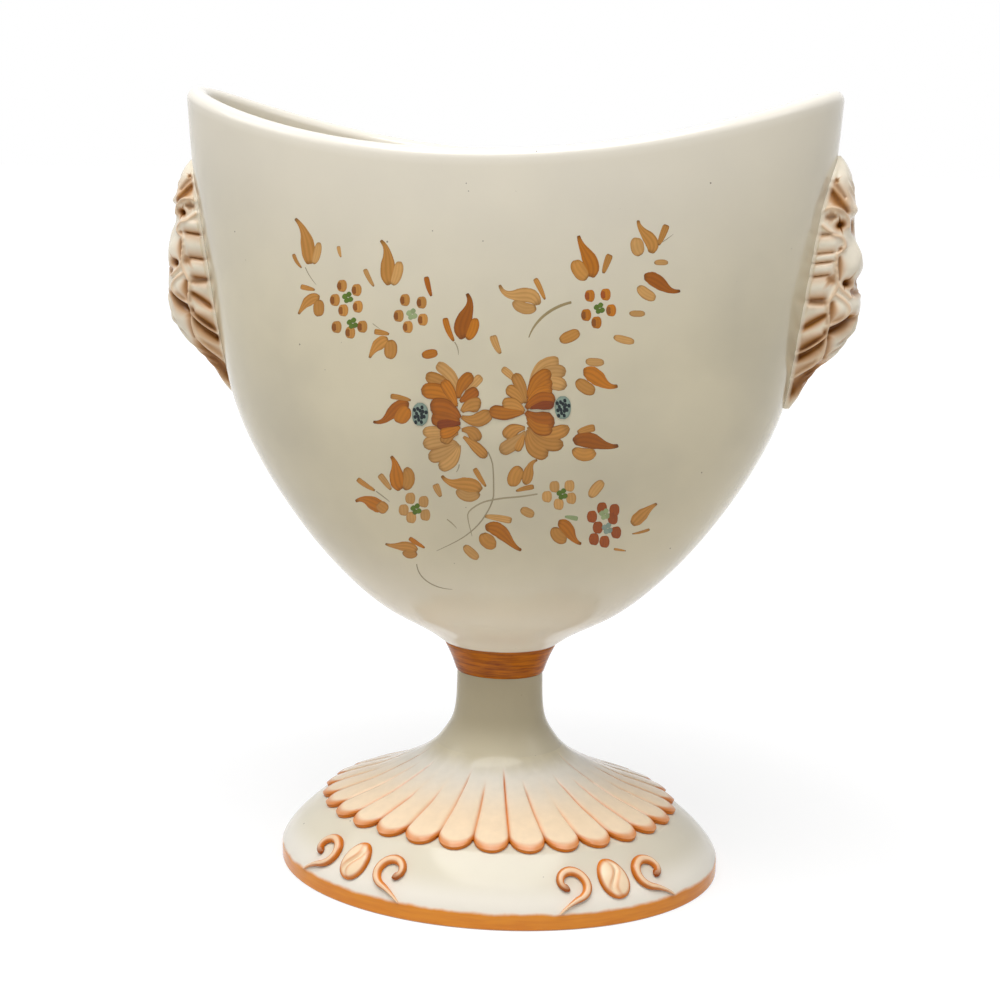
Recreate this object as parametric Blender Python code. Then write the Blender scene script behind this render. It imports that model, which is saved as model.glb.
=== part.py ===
"""Oval footed urn vase in glazed ceramic.

A deep oval cup with a saddle-shaped rim stands on a hollow pedestal. A fluted apron of petals
lies over the flare of the foot, a grotesque mask with mane and beard sits on each end of the
cup, and small relief scrolls and buds lie on the plinth. Sizes are in metres, +Z is up, the
long axis of the oval is X and the painted front faces -Y. The origin is under the middle of
the foot, on the table.
"""
import math

import bmesh
import bpy
import numpy as np
from mathutils import Matrix

# Clearance between pieces that are luted together
SEAM = 0.0003

# Bowl
BOWL_HEIGHT = 0.196
BOWL_HALF_LENGTH = 0.1137
BOWL_HALF_DEPTH = 0.062
BOWL_WALL = 0.007
BOWL_FLOOR = 0.009
SEAT_HALF_LENGTH = 0.0206
SEAT_HALF_DEPTH = 0.0161
RIM_DIP = 0.0205
RIM_SWEEP = 2.1

# Swell of the bowl: share of its height, share of the way from seat to rim half length
BOWL_SWELL = ((0.0, 0.0), (0.022, 0.066), (0.07, 0.246), (0.139, 0.416), (0.266, 0.633),
              (0.413, 0.802), (0.56, 0.881), (0.707, 0.932), (0.853, 0.977), (1.0, 1.0))

# Collar between the bowl and the stem
COLLAR_HEIGHT = 0.0105
COLLAR_TOP_HALF_LENGTH = 0.0209
COLLAR_FOOT_HALF_LENGTH = 0.01605
COLLAR_ROUNDING = 0.0005

# Pedestal
PEDESTAL_HEIGHT = 0.0729
FOOT_HALF_LENGTH = 0.0813
FOOT_HALF_DEPTH = 0.0631
FOOT_EDGE_HEIGHT = 0.0055
FOOT_EDGE_ROUNDING = 0.0006
FOOT_WALL = 0.005
PLINTH_SWELL = 1.4
STEM_HALF_LENGTH = 0.0157
STEM_CAP = 0.009

# Fluted apron on the flare of the foot
APRON_HALF_LENGTH = 0.0662
APRON_TIP_HEIGHT = 0.0245
APRON_TOP_HEIGHT = 0.0455
APRON_THICKNESS = 0.0019
PETALS = 30
PETAL_RISE = 0.0023
FLUTE_DEPTH = 0.0008

# Flare of the foot: share of the height from apron tips to stem top, share of the spread
FLARE = ((0.0, 1.0), (0.058, 0.867), (0.103, 0.749), (0.155, 0.61), (0.217, 0.481),
         (0.279, 0.362), (0.341, 0.259), (0.424, 0.16), (0.506, 0.097), (0.61, 0.038),
         (0.733, 0.01), (1.0, 0.0))

# Masks on the ends of the bowl
MASK_FOOT_ABOVE_SEAT = 0.0893
MASK_HEIGHT = 0.0855
MASK_HALF_WIDTH = 0.013
MASK_RELIEF = 0.0165
LEFT_MASK_RELIEF = 0.018
LEFT_MASK_DROP = 0.003
MASK_EDGE = 0.0008
MASK_SQUARENESS = 3.6
MASK_STEPS = 85.5
MASK_COLUMNS = 18
MASK_ROWS = 33

# Outline of the mask: share of its height, share of its half width
MASK_OUTLINE = ((0.0, 0.1), (0.05, 0.37), (0.145, 0.64), (0.24, 0.83), (0.33, 0.93),
                (0.425, 0.96), (0.52, 0.98), (0.61, 1.0), (0.7, 1.03), (0.8, 1.0),
                (0.89, 0.82), (0.96, 0.45), (1.0, 0.12))

# Middle line of the mask: share of its height, share of its relief
MASK_PROFILE = ((0.0, 0.12), (0.0725, 0.28), (0.139, 0.43), (0.199, 0.61), (0.234, 0.76),
                (0.294, 0.91), (0.332, 1.0), (0.414, 0.99), (0.472, 0.91), (0.526, 0.89),
                (0.566, 0.89), (0.61, 0.815), (0.671, 0.66), (0.718, 0.59), (0.765, 0.535),
                (0.81, 0.5), (0.858, 0.44), (0.905, 0.36), (0.952, 0.25), (0.987, 0.12), (1.0, 0.05))

# Locks of hair on the sides of the mask: middle and half height, in carving steps up from its foot
MASK_LOCKS = ((57.3, 3.4), (51.9, 2.1), (47.6, 2.3), (41.9, 3.5))

# Hollows under the leaves of the beard: middle, half height and slant, in carving steps
MASK_HOLLOWS = ((32.7, 0.9, 0.65), (22.2, 1.9, 0.5), (11.6, 2.8, 0.9))

# Relief sprigs, drawn for a band this wide and fitted to the sloping band of the plinth
SPRIG_BAND = 0.023291443
SPRIG_GROUPS = (-33.5, 40.5, 146.5, 220.5)
SPRIG_PITCH = 12.4
SPRIG_LEVEL = 0.52
SCROLL_RADIUS = 0.0056
SCROLL_STROKE = 0.0015
SCROLL_LIFT = 0.0017
SCROLL_TAIL = 0.0092
BUD_HALF_WIDTH = 0.0054
BUD_HALF_HEIGHT = 0.0076
BUD_LIFT = 0.0021

# Mesh fineness
ROUND_STEPS = 56
PETAL_STEPS = 4

# Heights that follow from the sizes above
COLLAR_BASE = PEDESTAL_HEIGHT + SEAM
BOWL_BASE = COLLAR_BASE + COLLAR_HEIGHT + SEAM
TIP_HEIGHT = BOWL_BASE + BOWL_HEIGHT
FOOT_OVAL = FOOT_HALF_DEPTH / FOOT_HALF_LENGTH


def smooth_line(stations):
    """Return a function that runs smoothly through the stations without overshoot."""
    xs = np.array([s[0] for s in stations])
    ys = np.array([s[1] for s in stations])
    slopes = np.diff(ys) / np.diff(xs)
    tangents = np.concatenate([slopes[:1], (slopes[:-1] + slopes[1:]) / 2, slopes[-1:]])
    flat = slopes[:-1] * slopes[1:] <= 0
    tangents[1:-1][flat] = 0.0
    limit = 3 * np.minimum(np.abs(slopes[:-1]), np.abs(slopes[1:]))
    tangents[1:-1] = np.clip(tangents[1:-1], -limit, limit)

    def line(x):
        x = np.clip(np.asarray(x, float), xs[0], xs[-1])
        i = np.clip(np.searchsorted(xs, x) - 1, 0, len(xs) - 2)
        h = xs[i + 1] - xs[i]
        t = (x - xs[i]) / h
        return ((1 + 2 * t) * (1 - t) ** 2 * ys[i] + t * (1 - t) ** 2 * h * tangents[i]
                + t * t * (3 - 2 * t) * ys[i + 1] + t * t * (t - 1) * h * tangents[i + 1])

    return line


bowl_swell = smooth_line(BOWL_SWELL)
flare_spread = smooth_line(FLARE)
mask_outline = smooth_line(MASK_OUTLINE)
mask_profile = smooth_line(MASK_PROFILE)


def glaze(name, colour, roughness):
    """Material of a piece: a glossy glaze in one plain colour."""
    material = bpy.data.materials.new(name)
    material.use_nodes = True
    shader = material.node_tree.nodes["Principled BSDF"]
    shader.inputs["Base Color"].default_value = (*colour, 1.0)
    shader.inputs["Roughness"].default_value = roughness
    shader.inputs["Metallic"].default_value = 0.0
    material.diffuse_color = (*colour, 1.0)
    return material


def add_object(name, bm, material):
    """Turn a bmesh into a smooth-shaded object of the vase."""
    bmesh.ops.recalc_face_normals(bm, faces=bm.faces)
    mesh = bpy.data.meshes.new(name)
    bm.to_mesh(mesh)
    bm.free()
    mesh.materials.append(material)
    mesh.shade_smooth()
    mesh.set_sharp_from_angle(angle=math.radians(40))
    obj = bpy.data.objects.new(name, mesh)
    bpy.context.scene.collection.objects.link(obj)
    obj.parent = vase
    return obj


def add_loop(bm, points):
    """Add the vertices of one loop."""
    return [bm.verts.new(p) for p in points]


def skin(bm, lower, upper):
    """Join two loops of equal count with a band of quads."""
    count = len(lower)
    for i in range(count):
        j = (i + 1) % count
        bm.faces.new((lower[i], lower[j], upper[j], upper[i]))


def loft(loops, first_cap=None, last_cap=None, closed=False):
    """Skin a row of loops; a cap is the point that its end closes on."""
    bm = bmesh.new()
    rings = [add_loop(bm, points) for points in loops]
    for lower, upper in zip(rings[:-1], rings[1:]):
        skin(bm, lower, upper)
    if closed:
        skin(bm, rings[-1], rings[0])
    for ring, cap in ((rings[0], first_cap), (rings[-1], last_cap)):
        if cap is None:
            continue
        tip = bm.verts.new(cap)
        for i in range(len(ring)):
            bm.faces.new((ring[i], ring[(i + 1) % len(ring)], tip))
    return bm


def angles(count):
    """Even steps round the oval, the first at +X."""
    return np.arange(count) * (2 * math.pi / count)


def bowl_sizes(z):
    """Half length and half depth of the bowl's outside at a height."""
    share = (np.asarray(z) - BOWL_BASE) / BOWL_HEIGHT
    length = SEAT_HALF_LENGTH + (BOWL_HALF_LENGTH - SEAT_HALF_LENGTH) * bowl_swell(share)
    seat_oval = SEAT_HALF_DEPTH / SEAT_HALF_LENGTH
    rim_oval = BOWL_HALF_DEPTH / BOWL_HALF_LENGTH
    return length, length * (seat_oval + (rim_oval - seat_oval) * np.clip(share, 0, 1))


def rim_height(theta):
    """Saddle line of the rim: high at both ends, low at front and back."""
    return TIP_HEIGHT - RIM_DIP * (1 - np.abs(np.cos(theta)) ** RIM_SWEEP)


def oval_normal(length, depth, theta):
    """Unit normal of an oval in plan."""
    nx = np.cos(theta) / length
    ny = np.sin(theta) / depth
    size = np.hypot(nx, ny)
    return nx / size, ny / size


def bowl_outside(share, theta):
    """Point and outward normal on the outside of the bowl below the rounded lip."""
    def point(s, t):
        z = BOWL_BASE + (rim_height(t) - BOWL_WALL / 2 - BOWL_BASE) * s
        length, depth = bowl_sizes(z)
        return np.stack([length * np.cos(t), depth * np.sin(t), z], -1)

    step = 1e-4
    here = point(share, theta)
    along = point(share, theta + step) - point(share, theta - step)
    up = point(np.minimum(share + step, 1.0), theta) - point(np.maximum(share - step, 0.0), theta)
    normal = np.cross(along, up)
    return here, normal / np.linalg.norm(normal, axis=-1, keepdims=True)


def make_bowl():
    """Oval cup: outside wall, rounded saddle lip, inside wall and a floor."""
    theta = angles(ROUND_STEPS)
    shares = (np.arange(12) / 11) ** 1.5
    outside = [bowl_outside(s, theta) for s in shares]
    loops = [p for p, _ in outside]
    crest, outward = outside[-1]
    flat = outward.copy()
    flat[:, 2] = 0
    flat /= np.linalg.norm(flat, axis=1, keepdims=True)
    middle = crest - flat * BOWL_WALL / 2
    for turn in np.radians((36, 72, 108, 144)):
        rise = np.array([0, 0, math.sin(turn)])
        loops.append(middle + (flat * math.cos(turn) + rise) * BOWL_WALL / 2)
    floor_height = BOWL_BASE + BOWL_FLOOR
    inner = []
    for points, normals in reversed(outside):
        ring = points - normals * BOWL_WALL
        if ring[:, 2].min() > floor_height + 0.001:
            inner.append(ring)
    inner[0] = crest - flat * BOWL_WALL
    loops += inner
    pool = inner[-1].copy()
    pool[:, :2] *= 0.55
    pool[:, 2] = floor_height
    loops.append(pool)
    bm = loft(loops, (0, 0, BOWL_BASE), (0, 0, floor_height))
    return add_object("bowl", bm, glaze("cream_glaze", (0.74, 0.69, 0.60), 0.12))


def oval_ring(length, height, count=ROUND_STEPS):
    """Ring of the pedestal's oval at one half length and height."""
    theta = angles(count)
    x = length * np.cos(theta)
    y = length * FOOT_OVAL * np.sin(theta)
    return np.stack([x, y, np.full(count, height)], -1)


def make_collar():
    """Tapered ring of slip that joins the bowl to the stem."""
    low = oval_ring(COLLAR_FOOT_HALF_LENGTH, COLLAR_BASE)
    high = oval_ring(COLLAR_TOP_HALF_LENGTH, COLLAR_BASE + COLLAR_HEIGHT)
    bm = loft([low, high])
    bmesh.ops.holes_fill(bm, edges=[edge for edge in bm.edges if edge.is_boundary])
    collar = add_object("collar", bm, glaze("amber_glaze", (0.50, 0.17, 0.02), 0.16))
    rounding = collar.modifiers.new("rounded rims", "BEVEL")
    rounding.width = COLLAR_ROUNDING
    rounding.segments = 1
    rounding.angle_limit = math.radians(50)
    return collar


def flare(z, sink=0.0):
    """Half length and height of the foot's flare at a height, sunk below its surface."""
    span = PEDESTAL_HEIGHT - APRON_TIP_HEIGHT

    def half_length(height):
        share = (height - APRON_TIP_HEIGHT) / span
        return STEM_HALF_LENGTH + (APRON_HALF_LENGTH - STEM_HALF_LENGTH) * flare_spread(share)

    z = np.asarray(z, float)
    step = 0.004 * span
    low = np.maximum(z - step, APRON_TIP_HEIGHT)
    high = np.minimum(z + step, PEDESTAL_HEIGHT)
    fall = (half_length(high) - half_length(low)) / (high - low)
    size = np.hypot(1.0, fall)
    return half_length(z) - sink / size, z + sink * fall / size


def plinth(share):
    """Half length and height of the plinth, from its edge (0) to the apron (1)."""
    top_length, top_height = flare(APRON_TIP_HEIGHT, APRON_THICKNESS + SEAM)
    spread = FOOT_HALF_LENGTH - top_length
    height = FOOT_EDGE_HEIGHT + (top_height - FOOT_EDGE_HEIGHT) * share
    return FOOT_HALF_LENGTH - spread * share ** PLINTH_SWELL, height


def make_pedestal():
    """Hollow stem, flare and oval plinth, open underneath, standing on a flat foot ring."""
    edge = [(FOOT_HALF_LENGTH - FOOT_EDGE_ROUNDING, 0.0),
            (FOOT_HALF_LENGTH, 2 * FOOT_EDGE_ROUNDING),
            (FOOT_HALF_LENGTH, FOOT_EDGE_HEIGHT)]
    side = [plinth(s) for s in (0.18, 0.38, 0.58, 0.79, 1.0)]
    under = [flare(z, APRON_THICKNESS + SEAM)
             for z in np.linspace(APRON_TIP_HEIGHT, APRON_TOP_HEIGHT, 5)[1:]]
    stem = [flare(z) for z in np.linspace(APRON_TOP_HEIGHT + SEAM, PEDESTAL_HEIGHT, 6)]
    outside = edge + side + under + stem
    ceiling = PEDESTAL_HEIGHT - STEM_CAP
    inside = [(FOOT_HALF_LENGTH - FOOT_WALL, 0.0)]
    for length, height in side[1::2] + under[1::2] + stem[1::2]:
        if 0.2 * FOOT_WALL < height - FOOT_WALL < ceiling - 0.2 * STEM_CAP:
            inside.append((length - FOOT_WALL, height - FOOT_WALL))
    inside.append((STEM_HALF_LENGTH - FOOT_WALL, ceiling - 0.1 * STEM_CAP))
    inside.append((0.6 * (STEM_HALF_LENGTH - FOOT_WALL), ceiling))
    loops = [oval_ring(a, z) for a, z in reversed(inside)] + [oval_ring(a, z) for a, z in outside]
    bm = loft(loops, (0, 0, ceiling), (0, 0, PEDESTAL_HEIGHT))
    return add_object("pedestal", bm, glaze("foot_glaze", (0.76, 0.70, 0.60), 0.12))


def make_apron():
    """Shell of petals over the flare, fluted and scalloped along its edge."""
    count = PETALS * PETAL_STEPS
    theta = -math.pi / 2 + angles(count)
    across = np.abs(np.mod(np.arange(count) / PETAL_STEPS + 0.5, 1.0) - 0.5)
    valley = 1 - 2 * across
    edge_height = APRON_TIP_HEIGHT + PETAL_RISE * valley ** 2.2
    shares = np.linspace(0.0, 1.0, 6)

    def row(share, sink):
        z = APRON_TOP_HEIGHT + (edge_height - APRON_TOP_HEIGHT) * share
        length, height = flare(z, sink)
        return np.stack([length * np.cos(theta), length * FOOT_OVAL * np.sin(theta), height], -1)

    def flute(share):
        return FLUTE_DEPTH * valley ** 3 * min(1.0, share * 1.6)

    back = APRON_THICKNESS
    loops = [row(s, flute(s)) for s in shares]
    loops.append(row(1.0, APRON_THICKNESS * 0.55 + flute(1.0) * 0.4))
    for s in (0.985, 0.5, 0.0):
        loops.append(row(s, back))
    bm = loft(loops, closed=True)
    return add_object("shell_apron", bm, glaze("peach_glaze", (0.80, 0.52, 0.33), 0.14))


def ramp(x, start, end):
    """Smooth step from 0 at the start to 1 at the end."""
    t = np.clip((x - start) / (end - start), 0, 1)
    return t * t * (3 - 2 * t)


def mask_section(share, relief):
    """Rounded-square section of the mask: sideways and outward coordinates from edge to edge."""
    turn = np.radians(np.linspace(-90, 90, MASK_COLUMNS + 1))
    width = MASK_HALF_WIDTH * mask_outline(share)
    crown = relief * mask_profile(share) - MASK_EDGE
    power = MASK_SQUARENESS
    reach = (np.abs(np.sin(turn) / width) ** power + np.abs(np.cos(turn) / crown) ** power) ** (-1 / power)
    return turn, reach * np.sin(turn), MASK_EDGE + reach * np.cos(turn)


def mask_carving(side, out, share):
    """Carved relief on the mask, measured square to its section.

    The sides carry locks of hair as half-round ridges and, below them, leaves of the beard with
    slanting hollows. A raised line parts the hair from the face. Eye, nose, mouth, whisker and
    beard are smooth bumps that turn round the corner of the section. The numbers inside count
    carving steps, MASK_STEPS of them to the height of the mask.
    """
    step = MASK_HEIGHT / MASK_STEPS
    y, d, z = np.abs(side) / step, out / step, share * MASK_STEPS

    def bump(height, depth, level, wide, tall):
        return height * np.exp(-((d - depth) / wide) ** 2 - ((z - level) / tall) ** 2)

    hair = ramp(d, 0.3, 1.8) * (1 - ramp(d, 5.0, 6.4))
    locks = np.zeros_like(d)
    for middle, half in MASK_LOCKS:
        locks = np.maximum(locks, np.sqrt(np.clip(1 - ((z - middle - 0.12 * (d - 3)) / half) ** 2, 0, 1)))
    mane = ramp(z, 36, 39) * (1 - ramp(z, 60, 63))
    carving = hair * mane * (2.0 * locks - 0.9)
    for middle, half, slant in MASK_HOLLOWS:
        level = (z - middle - slant * (d - 3.8)) / half
        carving -= 2.2 * np.exp(-level ** 2) * ramp(d, 0.0, 1.5) * (1 - ramp(d, 6.5, 9.0))
    carving += 0.7 * np.exp(-((d - 6.4) / 0.9) ** 2) * ramp(z, 10, 16) * (1 - ramp(z, 60, 64))
    carving += bump(2.4, 9.6, 35.4, 3.2, 3.9) - bump(2.2, 11.2, 28.6, 3.4, 1.7)
    carving += bump(-2.4, 6.4, 63.0, 2.0, 2.1) + bump(1.2, 5.0, 68.0, 4.0, 2.0)
    carving += bump(0.9, 12.0, 51.5, 3.4, 4.6) + bump(-2.8, 11.2, 43.8, 2.0, 1.8)
    tuft = np.exp(-((z - 74.0 + 1.05 * (d - 3.5)) / 1.5) ** 2)
    carving -= 1.3 * tuft * ramp(z, 66, 70)

    front = 1 - ramp(y, 7.0, 10.0)
    brows = np.exp(-((y - 5.5) / 2.6) ** 2)
    face = -1.8 * brows * np.exp(-((z - 62.5) / 2.6) ** 2)
    face += 1.4 * brows * np.exp(-((z - 67.6) / 1.8) ** 2)
    face += 1.0 * np.exp(-((y - 6.0) / 2.4) ** 2 - ((z - 55.0) / 3.4) ** 2)
    face -= 2.2 * np.exp(-((y - 3.0) / 3.4) ** 2 - ((z - 44.4) / 1.9) ** 2)
    face += 0.9 * np.exp(-(y / 4.0) ** 2 - ((z - 40.2) / 1.7) ** 2)
    carving += face * front * ramp(d, 5.0, 8.0)
    return carving * step * np.clip((out / step - 0.8) / 1.2, 0, 1)


def make_mask(name, mirrored, relief, drop):
    """Grotesque head in deep relief, hollowed behind to lie on the end of the bowl."""
    foot = BOWL_BASE + MASK_FOOT_ABOVE_SEAT - drop
    loops = []
    for share in np.linspace(0, 1, MASK_ROWS + 1):
        z = foot + MASK_HEIGHT * share
        length, depth = bowl_sizes(z)
        turn, side, out = mask_section(share, relief)
        carving = mask_carving(side, out, share)
        side = side + carving * np.sin(turn)
        out = out + carving * np.cos(turn)
        back = np.linspace(side[-1], side[0], 7)
        side = np.concatenate([side, back])
        out = np.concatenate([out, np.zeros(7)])
        theta = np.arcsin(np.clip(side / depth, -0.95, 0.95))
        nx, ny = oval_normal(length, depth, theta)
        x = length * np.cos(theta) + nx * SEAM + out
        y = side + ny * SEAM
        loops.append(np.stack([x, y, np.full(len(x), z)], -1))
    bm = loft(loops, loops[0].mean(0), loops[-1].mean(0))
    if mirrored:
        bmesh.ops.transform(bm, matrix=Matrix.Scale(-1, 4, (1, 0, 0)), verts=bm.verts)
        bmesh.ops.reverse_faces(bm, faces=bm.faces)
    return add_object(name, bm, glaze(name + "_glaze", (0.78, 0.62, 0.46), 0.15))


def on_plinth(angle, u, v, lift):
    """Place flat relief on the curved plinth: u along it, v up it, lift off it."""
    base = math.radians(angle) - math.pi / 2
    length, height = plinth(SPRIG_LEVEL)
    pace = math.hypot(length * math.sin(base), length * FOOT_OVAL * math.cos(base))
    theta = base + u / pace
    share = SPRIG_LEVEL + v / SPRIG_BAND

    def point(s, t):
        a, z = plinth(s)
        return np.array([a * math.cos(t), a * FOOT_OVAL * math.sin(t), z])

    step = 1e-3
    along = point(share, theta + step) - point(share, theta - step)
    up = point(share + step, theta) - point(share - step, theta)
    normal = np.cross(along, up)
    return point(share, theta) + normal / np.linalg.norm(normal) * (SEAM + lift)


def scroll_path(turn):
    """Spiral that opens quickly from the eye (0) and swings out along the tail (1)."""
    if turn < 0.74:
        sweep = turn / 0.74
        angle = math.radians(228 - 305 * sweep)
        grow = 0.30 + 0.50 * (1 - math.exp(-sweep / 0.13)) + 0.05 * sweep + 0.22 * sweep ** 4
        return SCROLL_RADIUS * grow * math.cos(angle), SCROLL_RADIUS * grow * math.sin(angle)
    start = scroll_path(0.7399)
    before = scroll_path(0.73)
    heading = math.atan2(start[1] - before[1], start[0] - before[0])
    reach = (turn - 0.74) / 0.26
    aim = heading + 0.25 * reach
    tail = SCROLL_TAIL * reach
    return start[0] + tail * math.cos(aim), start[1] + tail * math.sin(aim)


def make_scroll(name, angle, hand):
    """Scroll in half-round relief, thick at the eye and fading along the tail."""
    turns = np.linspace(0, 1, 22)
    path = np.array([scroll_path(t) for t in turns])
    heading = np.gradient(path, axis=0)
    heading /= np.linalg.norm(heading, axis=1, keepdims=True)
    loops = []
    for (u, v), (du, dv), turn in zip(path, heading, turns):
        swell = 0.62 + 0.5 * math.sin(math.pi * min(1.0, turn * 1.15)) + 0.5 * math.exp(-(turn / 0.06) ** 2)
        fade = 1.0 - 0.6 * max(0.0, (turn - 0.75) / 0.25)
        width = SCROLL_STROKE * swell * fade
        lift = SCROLL_LIFT * fade
        ring = []
        for side, rise in ((1, 0), (0.72, 0.68), (0, 1), (-0.72, 0.68), (-1, 0)):
            pu = u - dv * width * side
            pv = v + du * width * side
            ring.append(on_plinth(angle, hand * pu, pv, lift * rise))
        loops.append(ring)
    bm = bmesh.new()
    rings = [add_loop(bm, ring) for ring in loops]
    for lower, upper in zip(rings[:-1], rings[1:]):
        skin(bm, lower, upper)
    bm.faces.new(rings[0])
    bm.faces.new(rings[-1])
    return add_object(name, bm, glaze(name + "_glaze", (0.80, 0.45, 0.22), 0.15))


def make_bud(name, angle):
    """Oval bud in relief with an S-shaped crease."""
    turns = angles(18)
    loops = []
    for reach, rise in ((1.0, 0.0), (0.97, 0.42), (0.84, 0.72), (0.62, 0.9), (0.34, 1.0)):
        ring = []
        for turn in turns:
            u = reach * math.cos(turn)
            v = reach * math.sin(turn)
            crease = math.exp(-((u - 0.34 * math.sin(math.pi * v)) / 0.2) ** 2) * (1 - reach ** 3)
            lift = BUD_LIFT * (rise - 0.42 * crease)
            ring.append(on_plinth(angle, u * BUD_HALF_WIDTH, v * BUD_HALF_HEIGHT, lift))
        loops.append(ring)
    bm = loft(loops, on_plinth(angle, 0, 0, 0), on_plinth(angle, 0, 0, BUD_LIFT * 0.58))
    return add_object(name, bm, glaze(name + "_glaze", (0.80, 0.47, 0.26), 0.15))


for old in list(bpy.data.objects):
    bpy.data.objects.remove(old, do_unlink=True)

vase = bpy.data.objects.new("urn_vase", None)
bpy.context.scene.collection.objects.link(vase)

make_pedestal()
make_apron()
make_collar()
make_bowl()
make_mask("mask_right", False, MASK_RELIEF, 0.0)
make_mask("mask_left", True, LEFT_MASK_RELIEF, LEFT_MASK_DROP)
for place, group in zip(("front_left", "front_right", "back_right", "back_left"), SPRIG_GROUPS):
    make_scroll("scroll_" + place + "_a", group - SPRIG_PITCH, 1)
    make_bud("bud_" + place, group)
    make_scroll("scroll_" + place + "_b", group + SPRIG_PITCH, -1)
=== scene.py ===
"""Looks of the oval footed urn vase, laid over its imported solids.

Every piece is a numpy surface in metres in the frame of the solids: +Z up, the long axis of the
oval along X, the painted front towards -Y. The pieces are glazed earthenware: a cream bowl with a
hand-painted spray, an amber collar, a hollow foot with a terracotta edge, an apron of petals, two
grotesque masks and small relief sprigs.
"""
import math

import bpy
import numpy as np
from bpy.props import FloatProperty, FloatVectorProperty, IntProperty, PointerProperty
from bpy.types import Operator, Panel, PropertyGroup
from mathutils import Color, Matrix, Vector


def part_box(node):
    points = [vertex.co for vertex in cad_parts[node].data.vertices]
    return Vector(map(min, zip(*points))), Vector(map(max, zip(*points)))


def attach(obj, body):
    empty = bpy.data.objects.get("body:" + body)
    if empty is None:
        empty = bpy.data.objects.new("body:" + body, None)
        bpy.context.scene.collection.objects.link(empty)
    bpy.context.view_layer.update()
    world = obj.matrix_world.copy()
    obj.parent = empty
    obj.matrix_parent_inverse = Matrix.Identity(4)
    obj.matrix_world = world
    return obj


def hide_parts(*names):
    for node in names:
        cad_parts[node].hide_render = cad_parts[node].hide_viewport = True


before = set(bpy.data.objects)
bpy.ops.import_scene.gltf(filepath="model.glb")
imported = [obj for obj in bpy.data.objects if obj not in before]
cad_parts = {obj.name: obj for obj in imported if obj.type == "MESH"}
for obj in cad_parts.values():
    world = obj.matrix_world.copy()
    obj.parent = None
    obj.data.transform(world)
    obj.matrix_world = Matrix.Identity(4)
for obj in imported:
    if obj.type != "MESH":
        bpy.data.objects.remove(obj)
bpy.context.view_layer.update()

bl_info = {
    "name": "Footed urn vase",
    "version": (1, 0, 0),
    "blender": (4, 5, 0),
    "location": "3D View > Sidebar > Urn vase",
    "description": "Builds the glazed, hand-painted pieces of an oval footed urn vase",
    "category": "Add Mesh",
}

BOWL_LOW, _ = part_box("bowl")
COLLAR_LOW, COLLAR_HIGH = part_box("collar")
_, FOOT_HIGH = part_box("pedestal")
FOOT_OVAL = FOOT_HIGH[1] / FOOT_HIGH[0]

# Swell of the bowl: share of its height, share of the way from seat to rim half length
BOWL_SWELL = ((0.0, 0.0), (0.022, 0.066), (0.07, 0.246), (0.139, 0.416), (0.266, 0.633),
              (0.413, 0.802), (0.56, 0.881), (0.707, 0.932), (0.853, 0.977), (1.0, 1.0))

# Flare of the foot: share of the height from apron tips to stem top, share of the spread
FLARE = ((0.0, 1.0), (0.058, 0.867), (0.103, 0.749), (0.155, 0.61), (0.217, 0.481),
         (0.279, 0.362), (0.341, 0.259), (0.424, 0.16), (0.506, 0.097), (0.61, 0.038),
         (0.733, 0.01), (1.0, 0.0))

# Outline of the mask: share of its height, share of its half width
MASK_OUTLINE = ((0.0, 0.1), (0.05, 0.37), (0.145, 0.64), (0.24, 0.83), (0.33, 0.93), (0.425, 0.96),
                (0.52, 0.98), (0.61, 1.0), (0.7, 1.03), (0.8, 1.0), (0.89, 0.82), (0.96, 0.45),
                (1.0, 0.12))

# Middle line of the mask: share of its height, share of its relief
MASK_PROFILE = ((0.0, 0.12), (0.0725, 0.28), (0.139, 0.43), (0.199, 0.61), (0.234, 0.76),
                (0.294, 0.91), (0.332, 1.0), (0.414, 0.99), (0.472, 0.91), (0.526, 0.89),
                (0.566, 0.89), (0.61, 0.815), (0.671, 0.66), (0.718, 0.59), (0.765, 0.535),
                (0.81, 0.5), (0.858, 0.44), (0.905, 0.36), (0.952, 0.25), (0.987, 0.12),
                (1.0, 0.05))

# Locks of hair on each mask: middle height and half height, in carving steps
RIGHT_LOCKS = ((56.8, 3.3), (52.3, 1.6), (48.6, 2.3), (42.5, 4.0))
LEFT_LOCKS = ((58.4, 3.2), (50.3, 4.6), (42.2, 3.4))

# Raised lines of the mask, as (steps beyond the bowl's end, height) from place to place
MASK_RIDGES = (((-1.9, 67.2), (2.4, 68.6), (5.6, 66.4), (7.2, 62.5)),
               ((-1.2, 62.9), (2.8, 60.2), (6.0, 58.8), (7.4, 56.0), (5.9, 53.9)),
               ((5.3, 53.6), (5.8, 50.0), (6.8, 46.8), (7.6, 43.7), (12.2, 39.3)),
               ((7.6, 43.7), (7.0, 40.6), (5.5, 37.2), (6.6, 33.0), (7.6, 28.4), (7.9, 22.6),
                (7.8, 19.9), (6.4, 16.6), (3.4, 14.1), (-0.8, 11.0)),
               ((7.7, 26.4), (4.1, 22.9), (-1.2, 19.9)),
               ((7.0, 40.6), (10.4, 38.2), (12.3, 35.0), (12.0, 32.8), (9.4, 30.6), (7.0, 29.6)))

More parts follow.
